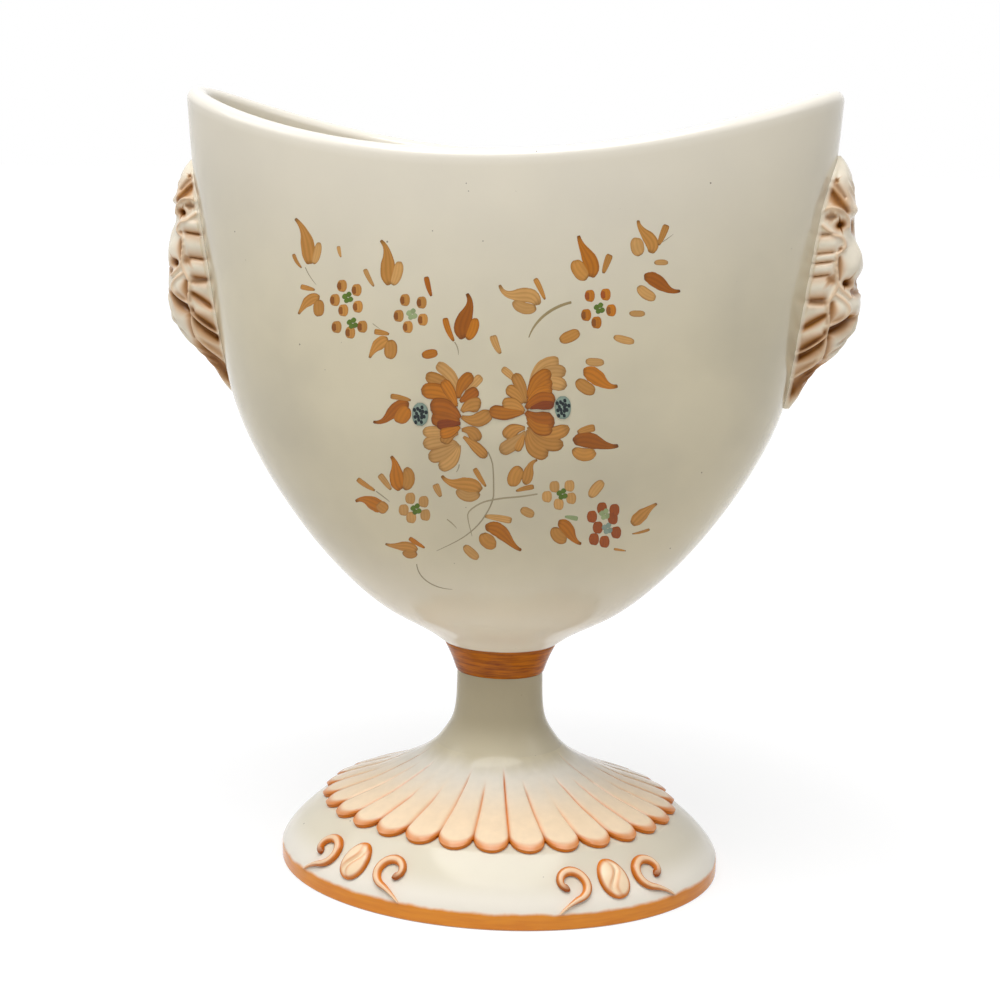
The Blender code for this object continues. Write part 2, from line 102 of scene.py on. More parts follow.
# Stained hollows of a mask: from place to place, half width, depth and darkness of the stain
MASK_HOLLOWS = (
    ((4.4, 63.0), (4.9, 63.2), 2.0, 3.0, 1.1), ((0.0, 65.6), (1.9, 65.8), 1.5, 1.4, 0.45),
    ((6.3, 55.2), (6.5, 54.8), 1.0, 1.2, 0.7), ((10.6, 44.1), (11.1, 43.9), 1.8, 3.0, 1.3),
    ((13.2, 41.4), (14.4, 40.4), 1.4, 1.5, 0.6), ((7.6, 27.6), (14.2, 32.3), 1.9, 2.4, 1.1),
    ((-1.9, 18.0), (7.7, 25.7), 2.4, 2.6, 1.0), ((-0.2, 5.8), (7.2, 15.8), 3.2, 2.3, 0.8),
    ((-2.8, 38.4), (5.2, 37.4), 1.2, 1.0, 0.5), ((-2.6, 27.6), (6.4, 33.8), 1.1, 1.2, 0.85),
    ((4.4, 45.6), (5.8, 44.8), 1.6, 0.4, 0.6), ((-2.0, 74.9), (5.6, 67.5), 1.4, 1.3, 0.9),
    ((-0.9, 77.3), (4.4, 72.0), 0.9, 0.8, 0.5), ((0.4, 77.6), (0.8, 77.2), 0.9, 0.8, 0.6),
    ((7.0, 37.4), (7.2, 31.0), 1.1, 0.5, 0.7), ((8.2, 27.0), (8.8, 19.0), 1.1, 0.6, 0.6),
    ((6.4, 52.4), (7.6, 45.4), 0.9, 0.4, 0.65),
)

# Smooth bumps of a mask's side, in carving steps: height, steps beyond the bowl's end, level,
# half width and half height
MASK_BUMPS = ((1.0, 1.5, 35.2, 4.0, 2.4), (0.7, 1.5, 26.0, 5.0, 2.2), (1.0, 11.8, 50.6, 3.2, 4.6),
              (1.4, 9.6, 35.0, 2.6, 3.6), (1.0, 4.0, 69.0, 4.0, 1.8), (0.9, 14.5, 36.0, 3.0, 4.0),
              (0.8, 1.6, 78.6, 2.4, 2.6))

# The same of a mask's face, counted sideways from its middle: socket, brow, eye, cheek, mouth, lip
# and nostril
MASK_FACE = ((-1.8, 5.5, 62.5, 2.6, 2.6), (1.4, 5.5, 67.6, 2.6, 1.8), (0.6, 5.5, 62.3, 1.2, 1.1),
             (1.0, 6.0, 55.0, 2.4, 3.4), (-2.2, 3.0, 44.4, 3.4, 1.9), (0.9, 0.0, 40.2, 4.0, 1.7),
             (-0.7, 2.6, 50.0, 0.9, 1.0))

# Peach wash over a mask's temple, in the same way
MASK_TEMPLE = ((0.5, 3.0, 71.0, 5.0, 5.0),)

# Relief sprigs: turn of each group from the front, in degrees, and the side it is on
SPRIG_GROUPS = (("front_left", -33.5), ("front_right", 40.5),
                ("back_right", 146.5), ("back_left", 220.5))

# Where the middle of a sprig lies on the slope of the plinth, and where its spiral turns to a tail
SPRIG_LEVEL = 0.52
CURL_END = 0.74

# Fineness of the meshes: points round or across a piece, and rows along it
BOWL_ROUND, BOWL_ROWS, LIP_ROWS, DISH_ROWS = 240, 104, 13, 12
COLLAR_ROUND, COLLAR_ROWS = 160, 20
FOOT_ROUND, EDGE_ROWS, PLINTH_ROWS, UNDER_ROWS, STEM_ROWS = 240, 6, 34, 26, 40
PETAL_ROUND, PETAL_ROWS = 14, 60
MASK_ACROSS, MASK_BACK, MASK_ROWS = 251, 15, 301
SCROLL_ACROSS, SCROLL_ROWS = 11, 90
BUD_ROUND, BUD_ROWS = 56, 26
MARK_ACROSS, MARK_ROWS, THREAD_ROWS = 15, 18, 26

# Small heights between brush marks that lie on each other, in metres
LOBE_LIFT = 0.00002
SPOT_LIFT = 0.00003
PILE_STEP = 0.000012

# Dots in the eye of a bloom, each turned from the one before it by the golden angle, in radians
EYE_DOTS = 15
GOLDEN_TURN = 2.4


def tint(code):
    """Linear colour of an sRGB hex code."""
    parts = [int(code[i:i + 2], 16) / 255 for i in (1, 3, 5)]
    return tuple(c / 12.92 if c <= 0.04045 else ((c + 0.055) / 1.055) ** 2.4 for c in parts)


def length(title, text, default):
    """Property for a length in metres."""
    return FloatProperty(name=title, description=text, default=default, unit="LENGTH", precision=5)


def colour(title, text, code):
    """Property for a colour, given as sRGB hex."""
    return FloatVectorProperty(name=title, description=text, default=tint(code), subtype="COLOR",
                               size=3, min=0.0, max=1.0)


class UrnSizes(PropertyGroup):
    """Sizes of the urn that its pieces are worked out from."""
    bowl_half_length: length("Bowl half length", "Half length of the rim", 0.1137)
    bowl_half_depth: length("Bowl half depth", "Half depth of the rim", 0.062)
    bowl_wall: length("Bowl wall", "Thickness of the bowl's wall", 0.007)
    bowl_height: length("Bowl height", "Height from the seat to the tips of the rim", 0.196)
    bowl_floor: length("Bowl floor", "Thickness of the bowl's floor", 0.009)
    seat_half_length: length("Seat half length", "Half length of the bowl's seat", 0.0206)
    seat_half_depth: length("Seat half depth", "Half depth of the bowl's seat", 0.0161)
    rim_dip: length("Rim dip", "Fall of the rim from its tips to the front", 0.0205)
    rim_sweep: FloatProperty(name="Rim sweep", description="How pointed the rim's tips are",
                             default=2.1, min=1.0, max=4.0)
    collar_foot: length("Collar foot", "Half length of the collar at its foot", 0.01605)
    foot_edge: length("Foot edge", "Height of the upright edge of the foot", 0.0055)
    foot_wall: length("Foot wall", "Thickness of the hollow foot", 0.005)
    stem_half_length: length("Stem half length", "Half length of the stem", 0.0157)
    stem_cap: length("Stem cap", "Thickness over the hollow stem", 0.009)
    plinth_swell: FloatProperty(name="Plinth swell", description="Roundness of the plinth",
                                default=1.4, min=1.0, max=3.0)
    apron_half_length: length("Apron half length", "Half length at the petal tips", 0.0662)
    apron_tips: length("Apron tips", "Height of the petal tips", 0.0245)
    apron_top: length("Apron top", "Height of the apron's upper edge", 0.0455)
    apron_thickness: length("Apron thickness", "How far the petals stand proud", 0.0019)
    petal_rise: length("Petal rise", "Rise of the edge between two petals", 0.0023)
    flute_depth: length("Flute depth", "Depth of the groove between two petals", 0.0008)
    petals: IntProperty(name="Petals", description="Petals round the apron", default=30, min=8)
    mask_half_width: length("Mask half width", "Half width of a mask", 0.013)
    mask_relief: length("Mask relief", "How far the right mask stands out", 0.0165)
    mask_relief_left: length("Left mask relief", "How far the left mask stands out", 0.018)
    mask_edge: length("Mask edge", "Thickness of a mask at its edge", 0.0008)
    mask_squareness: FloatProperty(name="Mask squareness", default=3.6, min=2.0, max=8.0,
                                   description="How square a mask is in section")
    mask_step: length("Mask step", "Length of one carving step", 0.001)
    mask_lift: length("Mask lift", "Glaze-filled joint under the edge of a mask", 0.00003)
    seam: length("Seam", "Gap between the solids that lie on each other", 0.0003)
    sprig_pitch: FloatProperty(name="Sprig pitch", description="Turn from a bud to its scrolls",
                               default=math.radians(12.4), subtype="ANGLE")
    scroll_radius: length("Scroll radius", "Radius of a relief scroll", 0.0056)
    scroll_stroke: length("Scroll stroke", "Half width of a relief scroll's band", 0.0015)
    scroll_lift: length("Scroll lift", "Height of a relief scroll", 0.0017)
    scroll_tail: length("Scroll tail", "Length of a relief scroll's tail", 0.0092)
    bud_half_width: length("Bud half width", "Half width of a relief bud", 0.0054)
    bud_half_height: length("Bud half height", "Half height of a relief bud", 0.0076)
    bud_lift: length("Bud lift", "Height of a relief bud", 0.0021)
    paint_lift: length("Paint lift", "Thickness of the painted strokes", 0.00005)


class UrnColours(PropertyGroup):
    """Colours of the glazes and of the painting."""
    cream: colour("Cream", "Tin-white glaze", "#e0d6b9")
    # White is whiter glaze on the plinth, and painted light on the bowl: a painted highlight on the
    # lip, and painted light near the rim and the seat
    white: colour("White", "Thicker glaze on the lip and the plinth", "#f7f1e4")
    # Painted shade: the stem under the bowl is tinted greyer
    painted_stem_shade: colour("Thin glaze", "Greyer glaze on the stem", "#bfb495")
    cream_shade: colour("Cream shade", "Cooler clouds in the glaze", "#d3cab0")
    speck: colour("Speck", "Iron specks in the glaze", "#6b5a45")
    clay: colour("Clay", "Bare biscuit under the foot ring", "#c9a888")
    amber: colour("Amber", "Brushed collar", "#cc7400")
    amber_dark: colour("Amber dark", "Streaks of the collar", "#8a3e00")
    terracotta: colour("Terracotta", "Painted edge of the foot", "#f0992c")
    peach: colour("Peach", "Wash on the petals", "#ffe4c0")
    outline: colour("Outline", "Orange line along the petals", "#e08024")
    outline_dark: colour("Outline dark", "Brown where the line pools", "#a4510f")
    mask_cream: colour("Mask cream", "High places of the masks", "#faf1de")
    mask_peach: colour("Mask peach", "Middle places of the masks", "#de9424")
    mask_brown: colour("Mask brown", "Hollows of the masks", "#744000")
    background: colour("Background", "Floor and surroundings", "#ffffff")


def smooth_line(stations):
    """Function that runs smoothly through the stations without overshoot."""
    xs, ys = np.array(stations, float).T
    slopes = np.diff(ys) / np.diff(xs)
    tangents = np.concatenate([slopes[:1], (slopes[:-1] + slopes[1:]) / 2, slopes[-1:]])
    tangents[1:-1][slopes[:-1] * slopes[1:] <= 0] = 0.0
    limit = 3 * np.minimum(np.abs(slopes[:-1]), np.abs(slopes[1:]))
    tangents[1:-1] = np.clip(tangents[1:-1], -limit, limit)

    def line(x):
        x = np.clip(np.asarray(x, float), xs[0], xs[-1])
        i = np.clip(np.searchsorted(xs, x) - 1, 0, len(xs) - 2)
        h = xs[i + 1] - xs[i]
        t = (x - xs[i]) / h
        return ((1 + 2 * t) * (1 - t) ** 2 * ys[i] + t * (1 - t) ** 2 * h * tangents[i]
                + t * t * (3 - 2 * t) * ys[i + 1] + t * t * (t - 1) * h * tangents[i + 1])

    return line


bowl_swell = smooth_line(BOWL_SWELL)
flare_spread = smooth_line(FLARE)
mask_outline = smooth_line(MASK_OUTLINE)
mask_profile = smooth_line(MASK_PROFILE)


def ramp(x, start, end):
    """Smooth step from 0 at the start to 1 at the end."""
    t = np.clip((x - start) / (end - start), 0, 1)
    return t * t * (3 - 2 * t)


def blend(low, high, share):
    """Mix of two colours by a share that may be an array."""
    share = np.clip(share, 0, 1)[..., None]
    return np.asarray(low) * (1 - share) + np.asarray(high) * share


def unit(vectors):
    """Vectors scaled to length one."""
    return vectors / np.maximum(np.linalg.norm(vectors, axis=-1, keepdims=True), 1e-12)


def steps_round(count):
    """Even turns round the oval, the first at +X."""
    return np.arange(count) * (2 * math.pi / count)


def oval_rings(lengths, heights, oval, count):
    """Rings of an oval: each has a half length and a height, and its depth is a share of it."""
    turn = steps_round(count)
    a = np.asarray(lengths, float)[:, None]
    z = np.broadcast_to(np.asarray(heights, float)[:, None], (len(lengths), count))
    return np.stack([a * np.cos(turn), a * oval * np.sin(turn), z], -1)


def sheet_mesh(points, poles):
    """Vertices, quads and triangles of rings joined row to row, each end closed on its pole.

    Without poles the last ring joins the first, like a hoop.
    """
    rows, count = points.shape[:2]
    verts = points.reshape(-1, 3)
    at = np.arange(rows * count).reshape(rows, count)
    on = np.roll(at, -1, axis=1)
    if poles is None:
        up = np.roll(at, -1, axis=0)
        quads = np.stack([at, on, np.roll(up, -1, axis=1), up], -1).reshape(-1, 4)
        return verts, quads, np.zeros((0, 3), int)
    quads = np.stack([at[:-1], on[:-1], on[1:], at[1:]], -1).reshape(-1, 4)
    low = np.stack([on[0], at[0], np.full(count, len(verts))], -1)
    high = np.stack([at[-1], on[-1], np.full(count, len(verts) + 1)], -1)
    return np.concatenate([verts, poles]), quads, np.concatenate([low, high])


def add_piece(name, parts, material, replaces=(), crease=40, hoop=False):
    """Piece made of closed shells; each part is (rings, first pole, last pole, tints).

    A pole that isn't given is the middle of its ring, and a hoop has none.
    """
    verts, faces, tints, start = [], [], [], 0
    for points, first, last, shade in parts:
        first = points[0].mean(0) if first is None else first
        last = points[-1].mean(0) if last is None else last
        v, quads, tris = sheet_mesh(points, None if hoop else [first, last])
        a, b, c, d = (v[quads[:, i]] for i in range(4))
        e, f, g = (v[tris[:, i]] for i in range(3))
        volume = (np.einsum("ij,ij->", a, np.cross(b, c)) + np.einsum("ij,ij->", a, np.cross(c, d))
                  + np.einsum("ij,ij->", e, np.cross(f, g)))
        if volume < 0:
            quads, tris = quads[:, ::-1], tris[:, ::-1]
        faces += (quads + start).tolist() + (tris + start).tolist()
        verts.append(v)
        if shade is not None:
            flat = np.broadcast_to(shade, points.shape).reshape(-1, 3)
            ends = [flat[:points.shape[1]].mean(0), flat[-points.shape[1]:].mean(0)]
            tints.append(flat if hoop else np.concatenate([flat, ends]))
        start += len(v)
    mesh = bpy.data.meshes.new(name)
    mesh.from_pydata(np.concatenate(verts).tolist(), [], faces)
    if tints:
        data = np.ones((start, 4))
        data[:, :3] = np.concatenate(tints)
        layer = mesh.color_attributes.new("glaze_tint", "FLOAT_COLOR", "POINT")
        layer.data.foreach_set("color", data.ravel().astype(np.float32))
    mesh.shade_smooth()
    mesh.set_sharp_from_angle(angle=math.radians(crease))
    mesh.materials.append(material)
    piece = bpy.data.objects.new(name, mesh)
    bpy.context.scene.collection.objects.link(piece)
    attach(piece, "root")
    if replaces:
        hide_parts(*replaces)


def node(tree, kind, inputs=None, **settings):
    """Add a node with its settings; an input is a node or socket to link, a colour or a value.

    A node that is linked gives its first output.
    """
    made = tree.nodes.new(kind)
    for key, value in settings.items():
        setattr(made, key, value)
    for key, value in (inputs or {}).items():
        if isinstance(value, bpy.types.Node):
            value = value.outputs[0]
        if isinstance(value, bpy.types.NodeSocket):
            tree.links.new(value, made.inputs[key])
        else:
            made.inputs[key].default_value = (*value, 1.0) if isinstance(value, Color) else value
    return made


def glossy_glaze(name, make_colour, roughness=0.13, shine=0.5):
    """Fired gloss glaze over earthenware: a clear, slightly wavy skin.

    make_colour(tree, place) gives the colour socket. The skin pulls in waves about 16 mm wide
    and has a fine orange peel about 1.3 mm wide, and its gloss varies softly over 30 mm.
    """
    material = bpy.data.materials.new(name)
    material.use_nodes = True
    tree = material.node_tree
    shader = tree.nodes["Principled BSDF"]
    shader.inputs["IOR"].default_value = 1.52
    shader.inputs["Specular IOR Level"].default_value = shine
    place = node(tree, "ShaderNodeTexCoord").outputs["Object"]
    tree.links.new(make_colour(tree, place), shader.inputs["Base Color"])
    cloud = node(tree, "ShaderNodeTexNoise", {"Vector": place, "Scale": 33.0, "Detail": 2.0})
    gloss = node(tree, "ShaderNodeMapRange",
                 {0: cloud, 1: 0.3, 2: 0.7, 3: roughness * 0.8, 4: roughness * 1.35})
    tree.links.new(gloss.outputs[0], shader.inputs["Roughness"])
    waves = node(tree, "ShaderNodeTexNoise", {"Vector": place, "Scale": 62.0, "Detail": 1.0})
    peel = node(tree, "ShaderNodeTexNoise", {"Vector": place, "Scale": 770.0, "Detail": 1.0})
    bump = node(tree, "ShaderNodeBump", {"Height": waves, "Strength": 0.35, "Distance": 0.0006})
    bump = node(tree, "ShaderNodeBump", {"Height": peel, "Strength": 0.02, "Distance": 0.0003,
                                         "Normal": bump})
    tree.links.new(bump.outputs[0], shader.inputs["Normal"])
    return material


def specked(tree, place, base, colours):
    """Colour with sparse iron specks about 0.5 mm wide, one in each few square centimetres."""
    cells = node(tree, "ShaderNodeTexVoronoi", {"Vector": place, "Scale": 190.0})
    chosen = node(tree, "ShaderNodeSeparateColor", {0: cells.outputs["Color"]})
    size = node(tree, "ShaderNodeMapRange", {0: chosen, 1: 0.55, 2: 1.0, 3: 0.0, 4: 0.06})
    spot = node(tree, "ShaderNodeMath", {0: cells.outputs["Distance"], 1: size},
                operation="LESS_THAN")
    share = node(tree, "ShaderNodeMath", {0: spot, 1: 0.75}, operation="MULTIPLY")
    return node(tree, "ShaderNodeMix", {0: share, 6: base, 7: colours.speck},
                data_type="RGBA").outputs[2]


def clouded(tree, place, colours):
    """Tin-white glaze with soft cooler clouds about 45 mm wide, whiter by a share from the piece.

    The piece gives that share, from 0 to 1, in its glaze_tint attribute. It stands for whiter
    glaze, and for painted light and painted shade.
    """
    cloud = node(tree, "ShaderNodeTexNoise", {"Vector": place, "Scale": 22.0, "Detail": 3.0})
    share = node(tree, "ShaderNodeMapRange", {0: cloud, 1: 0.38, 2: 0.68})
    # Share of white laid by the piece: whiter glaze, painted light and painted shade
    white_glaze_and_painted_light = node(tree, "ShaderNodeAttribute", attribute_name="glaze_tint").outputs["Fac"]
    cloudy = node(tree, "ShaderNodeMix", {0: share, 6: colours.cream, 7: colours.cream_shade},
                  data_type="RGBA").outputs[2]
    return node(tree, "ShaderNodeMix", {0: white_glaze_and_painted_light, 6: cloudy, 7: colours.white},
                data_type="RGBA").outputs[2]


def cream_majolica(colours):
    """Tin glaze: opaque warm white, softly clouded, with specks and a wet shine."""
    def make(tree, place):
        return specked(tree, place, clouded(tree, place, colours), colours)
    return glossy_glaze("cream_majolica_glaze", make)


def brushed_amber(colours):
    """Amber stain under clear glaze, laid on with a brush turned round the collar.

    Streaks run round the ring: noise about 0.7 mm thick upwards and 9 mm long.
    """
    def make(tree, place):
        spread = node(tree, "ShaderNodeMapping", {0: place, 3: (110.0, 110.0, 1400.0)})
        streak = node(tree, "ShaderNodeTexNoise", {"Vector": spread, "Scale": 1.0, "Detail": 3.0,
                                                   "Roughness": 0.6})
        share = node(tree, "ShaderNodeMapRange", {0: streak, 1: 0.38, 2: 0.7})
        return node(tree, "ShaderNodeMix", {0: share, 6: colours.amber, 7: colours.amber_dark},
                    data_type="RGBA").outputs[2]
    return glossy_glaze("brushed_amber_glaze", make, roughness=0.16, shine=0.2)


def foot_majolica(colours, edge_height):
    """Cream glaze with a terracotta band brushed along the foot's edge, bare clay beneath.

    The band's upper border wavers by about 1 mm and fades over 1.5 mm. From 46 mm up, the stem
    is tinted greyer as painted shade, where the bowl above shades it.
    """
    def make(tree, place):
        base = specked(tree, place, clouded(tree, place, colours), colours)
        height = node(tree, "ShaderNodeSeparateXYZ", {0: place}).outputs[2]
        waver = node(tree, "ShaderNodeTexNoise", {"Vector": place, "Scale": 120.0, "Detail": 3.0})
        line = node(tree, "ShaderNodeMath", {0: waver, 1: 0.0022, 2: height},
                    operation="MULTIPLY_ADD")
        band = node(tree, "ShaderNodeMapRange",
                    {0: line, 1: edge_height + 0.0008, 2: edge_height + 0.0024, 3: 1.0, 4: 0.0},
                    interpolation_type="SMOOTHSTEP")
        brush = node(tree, "ShaderNodeMapping", {0: place, 3: (90.0, 90.0, 900.0)})
        streak = node(tree, "ShaderNodeTexNoise", {"Vector": brush, "Scale": 1.0, "Detail": 3.0})
        stain = node(tree, "ShaderNodeMapRange", {0: streak, 1: 0.35, 2: 0.7, 3: 0.0, 4: 0.55})
        paint = node(tree, "ShaderNodeMix", {0: stain, 6: colours.terracotta, 7: colours.outline},
                     data_type="RGBA").outputs[2]
        # Painted shade: greyer from 46 mm up, on the stem under the bowl
        stem_shade_share = node(tree, "ShaderNodeMapRange", {0: height, 1: 0.046, 2: 0.058, 3: 0.0, 4: 0.8},
                    interpolation_type="SMOOTHSTEP")
        ring = node(tree, "ShaderNodeMapRange", {0: height, 1: 0.0002, 2: 0.0006, 3: 1.0, 4: 0.0})
        # Each layer covers the ones before it: painted shade on the stem, painted edge, bare clay
        for share, layer in ((stem_shade_share, colours.painted_stem_shade), (band, paint), (ring, colours.clay)):
            base = node(tree, "ShaderNodeMix", {0: share, 6: base, 7: layer},
                        data_type="RGBA").outputs[2]
        return base
    return glossy_glaze("foot_majolica_glaze", make, roughness=0.16, shine=0.3)


def painted_glaze(name, roughness=0.13):
    """Stain under clear glaze, its tint laid on by the piece and mottled over about 2 mm."""
    def make(tree, place):
        laid = node(tree, "ShaderNodeAttribute", attribute_name="glaze_tint").outputs["Color"]
        mottle = node(tree, "ShaderNodeTexNoise", {"Vector": place, "Scale": 300.0, "Detail": 2.0})
        tone = node(tree, "ShaderNodeMapRange", {0: mottle, 1: 0.25, 2: 0.75, 3: 0.965, 4: 1.035})
        grey = node(tree, "ShaderNodeCombineColor", {0: tone, 1: tone, 2: tone})
        return node(tree, "ShaderNodeMix", {0: 1.0, 6: laid, 7: grey},
                    data_type="RGBA", blend_type="MULTIPLY").outputs[2]
    return glossy_glaze(name, make, roughness, shine=0.25)


class Bowl:
    """Shape of the bowl's outside, from the sizes and the height of its solid."""

    def __init__(self, sizes):
        self.s = sizes
        self.base = BOWL_LOW[2]
        self.tip = BOWL_LOW[2] + sizes.bowl_height

    def extents(self, z):
        """Half length and half depth at a height: the swell between seat and rim."""
        s = self.s
        share = (np.asarray(z) - self.base) / (self.tip - self.base)
        a = s.seat_half_length + (s.bowl_half_length - s.seat_half_length) * bowl_swell(share)
        seat = s.seat_half_depth / s.seat_half_length
        rim = s.bowl_half_depth / s.bowl_half_length
        return a, a * (seat + (rim - seat) * np.clip(share, 0, 1))

    def rim(self, turn):
        """Saddle line: the tip's height less a dip that grows away from the ends."""
        return self.tip - self.s.rim_dip * (1 - np.abs(np.cos(turn)) ** self.s.rim_sweep)

    def outside(self, share, turn):
        """Points and outward normals: an oval at each share of the way up to the lip."""
        def point(s, t):
            z = self.base + (self.rim(t) - self.s.bowl_wall / 2 - self.base) * s
            a, b = self.extents(z)
            return np.stack([a * np.cos(t), b * np.sin(t), z], -1)

        share, turn = np.broadcast_arrays(share, turn)
        step = 1e-4
        along = point(share, turn + step) - point(share, turn - step)
        up = point(np.minimum(share + step, 1), turn) - point(np.maximum(share - step, 0), turn)
        return point(share, turn), unit(np.cross(along, up))


def flare(s, z, sink=0.0):
    """Half length and height of the foot's flare at a height, sunk square to its surface."""
    top = FOOT_HIGH[2]

    def half_length(height):
        share = (height - s.apron_tips) / (top - s.apron_tips)
        return s.stem_half_length + (s.apron_half_length - s.stem_half_length) * flare_spread(share)

    z, step = np.asarray(z, float), 2e-4
    low = np.maximum(z - step, s.apron_tips)
    high = np.minimum(z + step, top)
    fall = (half_length(high) - half_length(low)) / (high - low)
    size = np.hypot(1.0, fall)
    return half_length(z) - sink / size, z + sink * fall / size


def plinth(s, share):
    """Half length and height of the plinth, from its edge (0) to the apron (1)."""
    top_length, top_height = flare(s, s.apron_tips, s.apron_thickness + s.seam)
    foot = FOOT_HIGH[0]
    height = s.foot_edge + (top_height - s.foot_edge) * share
    return foot - (foot - top_length) * share ** s.plinth_swell, height


class URN_OT_bowl(Operator):
    """Oval bowl: outside wall, rounded saddle lip, inside wall and a dished floor"""
    bl_idname = "urn.bowl"
    bl_label = "Bowl"

    def execute(self, context):
        s, colours = context.scene.urn_sizes, context.scene.urn_colours
        bowl = Bowl(s)
        turn = steps_round(BOWL_ROUND)[None, :]
        share = (np.linspace(0, 1, BOWL_ROWS) ** 1.3)[:, None]
        wall, outward = bowl.outside(share, turn)
        flat = outward[-1].copy()
        flat[:, 2] = 0
        flat = unit(flat)
        crest = wall[-1] - flat * s.bowl_wall / 2
        arc = np.linspace(0, math.pi, LIP_ROWS)[1:-1, None, None]
        rise = np.array([0, 0, 1.0])
        lip = crest + (flat * np.cos(arc) + rise * np.sin(arc)) * s.bowl_wall / 2
        inner = (wall - outward * s.bowl_wall)[::-1]
        inner[0] = crest - flat * s.bowl_wall / 2
        floor = bowl.base + s.bowl_floor
        # The inside wall stops a little above the floor and sweeps in to the floor's middle
        clearance = 0.002
        inner = inner[inner[:, :, 2].min(1) > floor + clearance]
        sweep = np.linspace(0, 1, DISH_ROWS)[1:-1, None]
        dish = np.repeat(inner[-1][None], len(sweep), 0)
        dish[:, :, :2] *= (1 - sweep ** 1.5)[..., None]
        dish[:, :, 2] = floor + (dish[:, :, 2] - floor) * (1 - sweep) ** 2.5
        rings = np.concatenate([wall, lip, inner, dish])
        below = bowl.rim(turn) - rings[..., 2]
        # Painted light: white on the lip as a painted highlight, and whiter towards the rim and the
        # seat
        upper = 0.6 * (1 - ramp(below, 0.0, 0.08))
        lower = 0.85 * (1 - ramp(rings[..., 2] - bowl.base, 0.0, 0.05))
        lip_highlight = 1 - ramp(below, 0.002, 0.007)
        white_glaze_and_painted_light = np.maximum(np.maximum(upper, lower), lip_highlight)[..., None]
        add_piece("bowl_glazed", [(rings, (0, 0, bowl.base), (0, 0, floor), white_glaze_and_painted_light)],
                  cream_majolica(colours), ["bowl"], crease=60)
        return {"FINISHED"}


class URN_OT_collar(Operator):
    """Collar: a tapered ring, slightly hollow, with rounded rims"""
    bl_idname = "urn.collar"
    bl_label = "Collar"

    def execute(self, context):
        s, colours = context.scene.urn_sizes, context.scene.urn_colours
        low, high, top = COLLAR_LOW[2] - s.seam, COLLAR_HIGH[2] + s.seam, COLLAR_HIGH[0]
        hollow, rounding, margin = 0.00035, 0.0005, 0.08
        up = np.linspace(0, 1, COLLAR_ROWS)
        lengths = s.collar_foot + (top - s.collar_foot) * up - hollow * np.sin(math.pi * up)
        inward = np.minimum((0.5 - np.abs(up - 0.5)) / margin, 1)
        edge = rounding * (1 - np.sqrt(1 - (inward - 1) ** 2))
        lengths = np.concatenate([[s.collar_foot * 0.5], lengths - edge, [top * 0.5]])
        heights = low + (high - low) * np.concatenate([[0], up, [1]])
        rings = oval_rings(lengths, heights, FOOT_OVAL, COLLAR_ROUND)
        add_piece("collar_glazed", [(rings, None, None, None)], brushed_amber(colours),
                  ["collar"])
        return {"FINISHED"}


class URN_OT_pedestal(Operator):
    """Hollow stem and plinth: the outside profile, the foot ring and the inside, turned oval"""
    bl_idname = "urn.pedestal"
    bl_label = "Pedestal"

    def execute(self, context):
        s, colours = context.scene.urn_sizes, context.scene.urn_colours
        foot, top = FOOT_HIGH[0], FOOT_HIGH[2]
        bend = np.linspace(0, math.pi / 2, EDGE_ROWS)
        rounding = 0.0009
        edge = [(foot - rounding * (1 - math.sin(t)), rounding * (1 - math.cos(t))) for t in bend]
        edge += [(foot, z) for z in np.linspace(rounding, s.foot_edge, EDGE_ROWS)[1:]]
        side = [plinth(s, share) for share in np.linspace(0, 1, PLINTH_ROWS)[1:]]
        under = [flare(s, z, s.apron_thickness + s.seam)
                 for z in np.linspace(s.apron_tips, s.apron_top, UNDER_ROWS)[1:]]
        stem = [flare(s, z) for z in np.linspace(s.apron_top, top, STEM_ROWS)]
        # The inside follows every second point of the outside, in and down by the wall
        wall, ceiling, corner = s.foot_wall, top - s.stem_cap, 0.001
        inside = [(foot - wall, 0.0)]
        for a, z in side[1::2] + under[1::2] + stem[1::2]:
            if corner < z - wall < ceiling - 2 * corner:
                inside.append((a - wall, z - wall))
        bore = s.stem_half_length - wall
        inside += [(bore, ceiling - corner), (0.6 * bore, ceiling)]
        profile = np.array(inside[::-1] + edge + side + under + stem + [(stem[-1][0] * 0.5, top)])
        rings = oval_rings(profile[:, 0], profile[:, 1], FOOT_OVAL, FOOT_ROUND)
        # Whitest on the plinth's edge, partly whiter glaze and partly painted light; less white up
        # under the petals and on the stem as painted shade
        height = rings[..., 2]
        white_glaze_and_painted_light = 1 - 0.6 * ramp(height, 0.009, 0.017) - 0.4 * ramp(height, s.apron_tips, s.apron_top)
        add_piece("pedestal_glazed", [(rings, (0, 0, ceiling), (0, 0, top), white_glaze_and_painted_light[..., None])],
                  foot_majolica(colours, s.foot_edge), ["pedestal"])
        return {"FINISHED"}


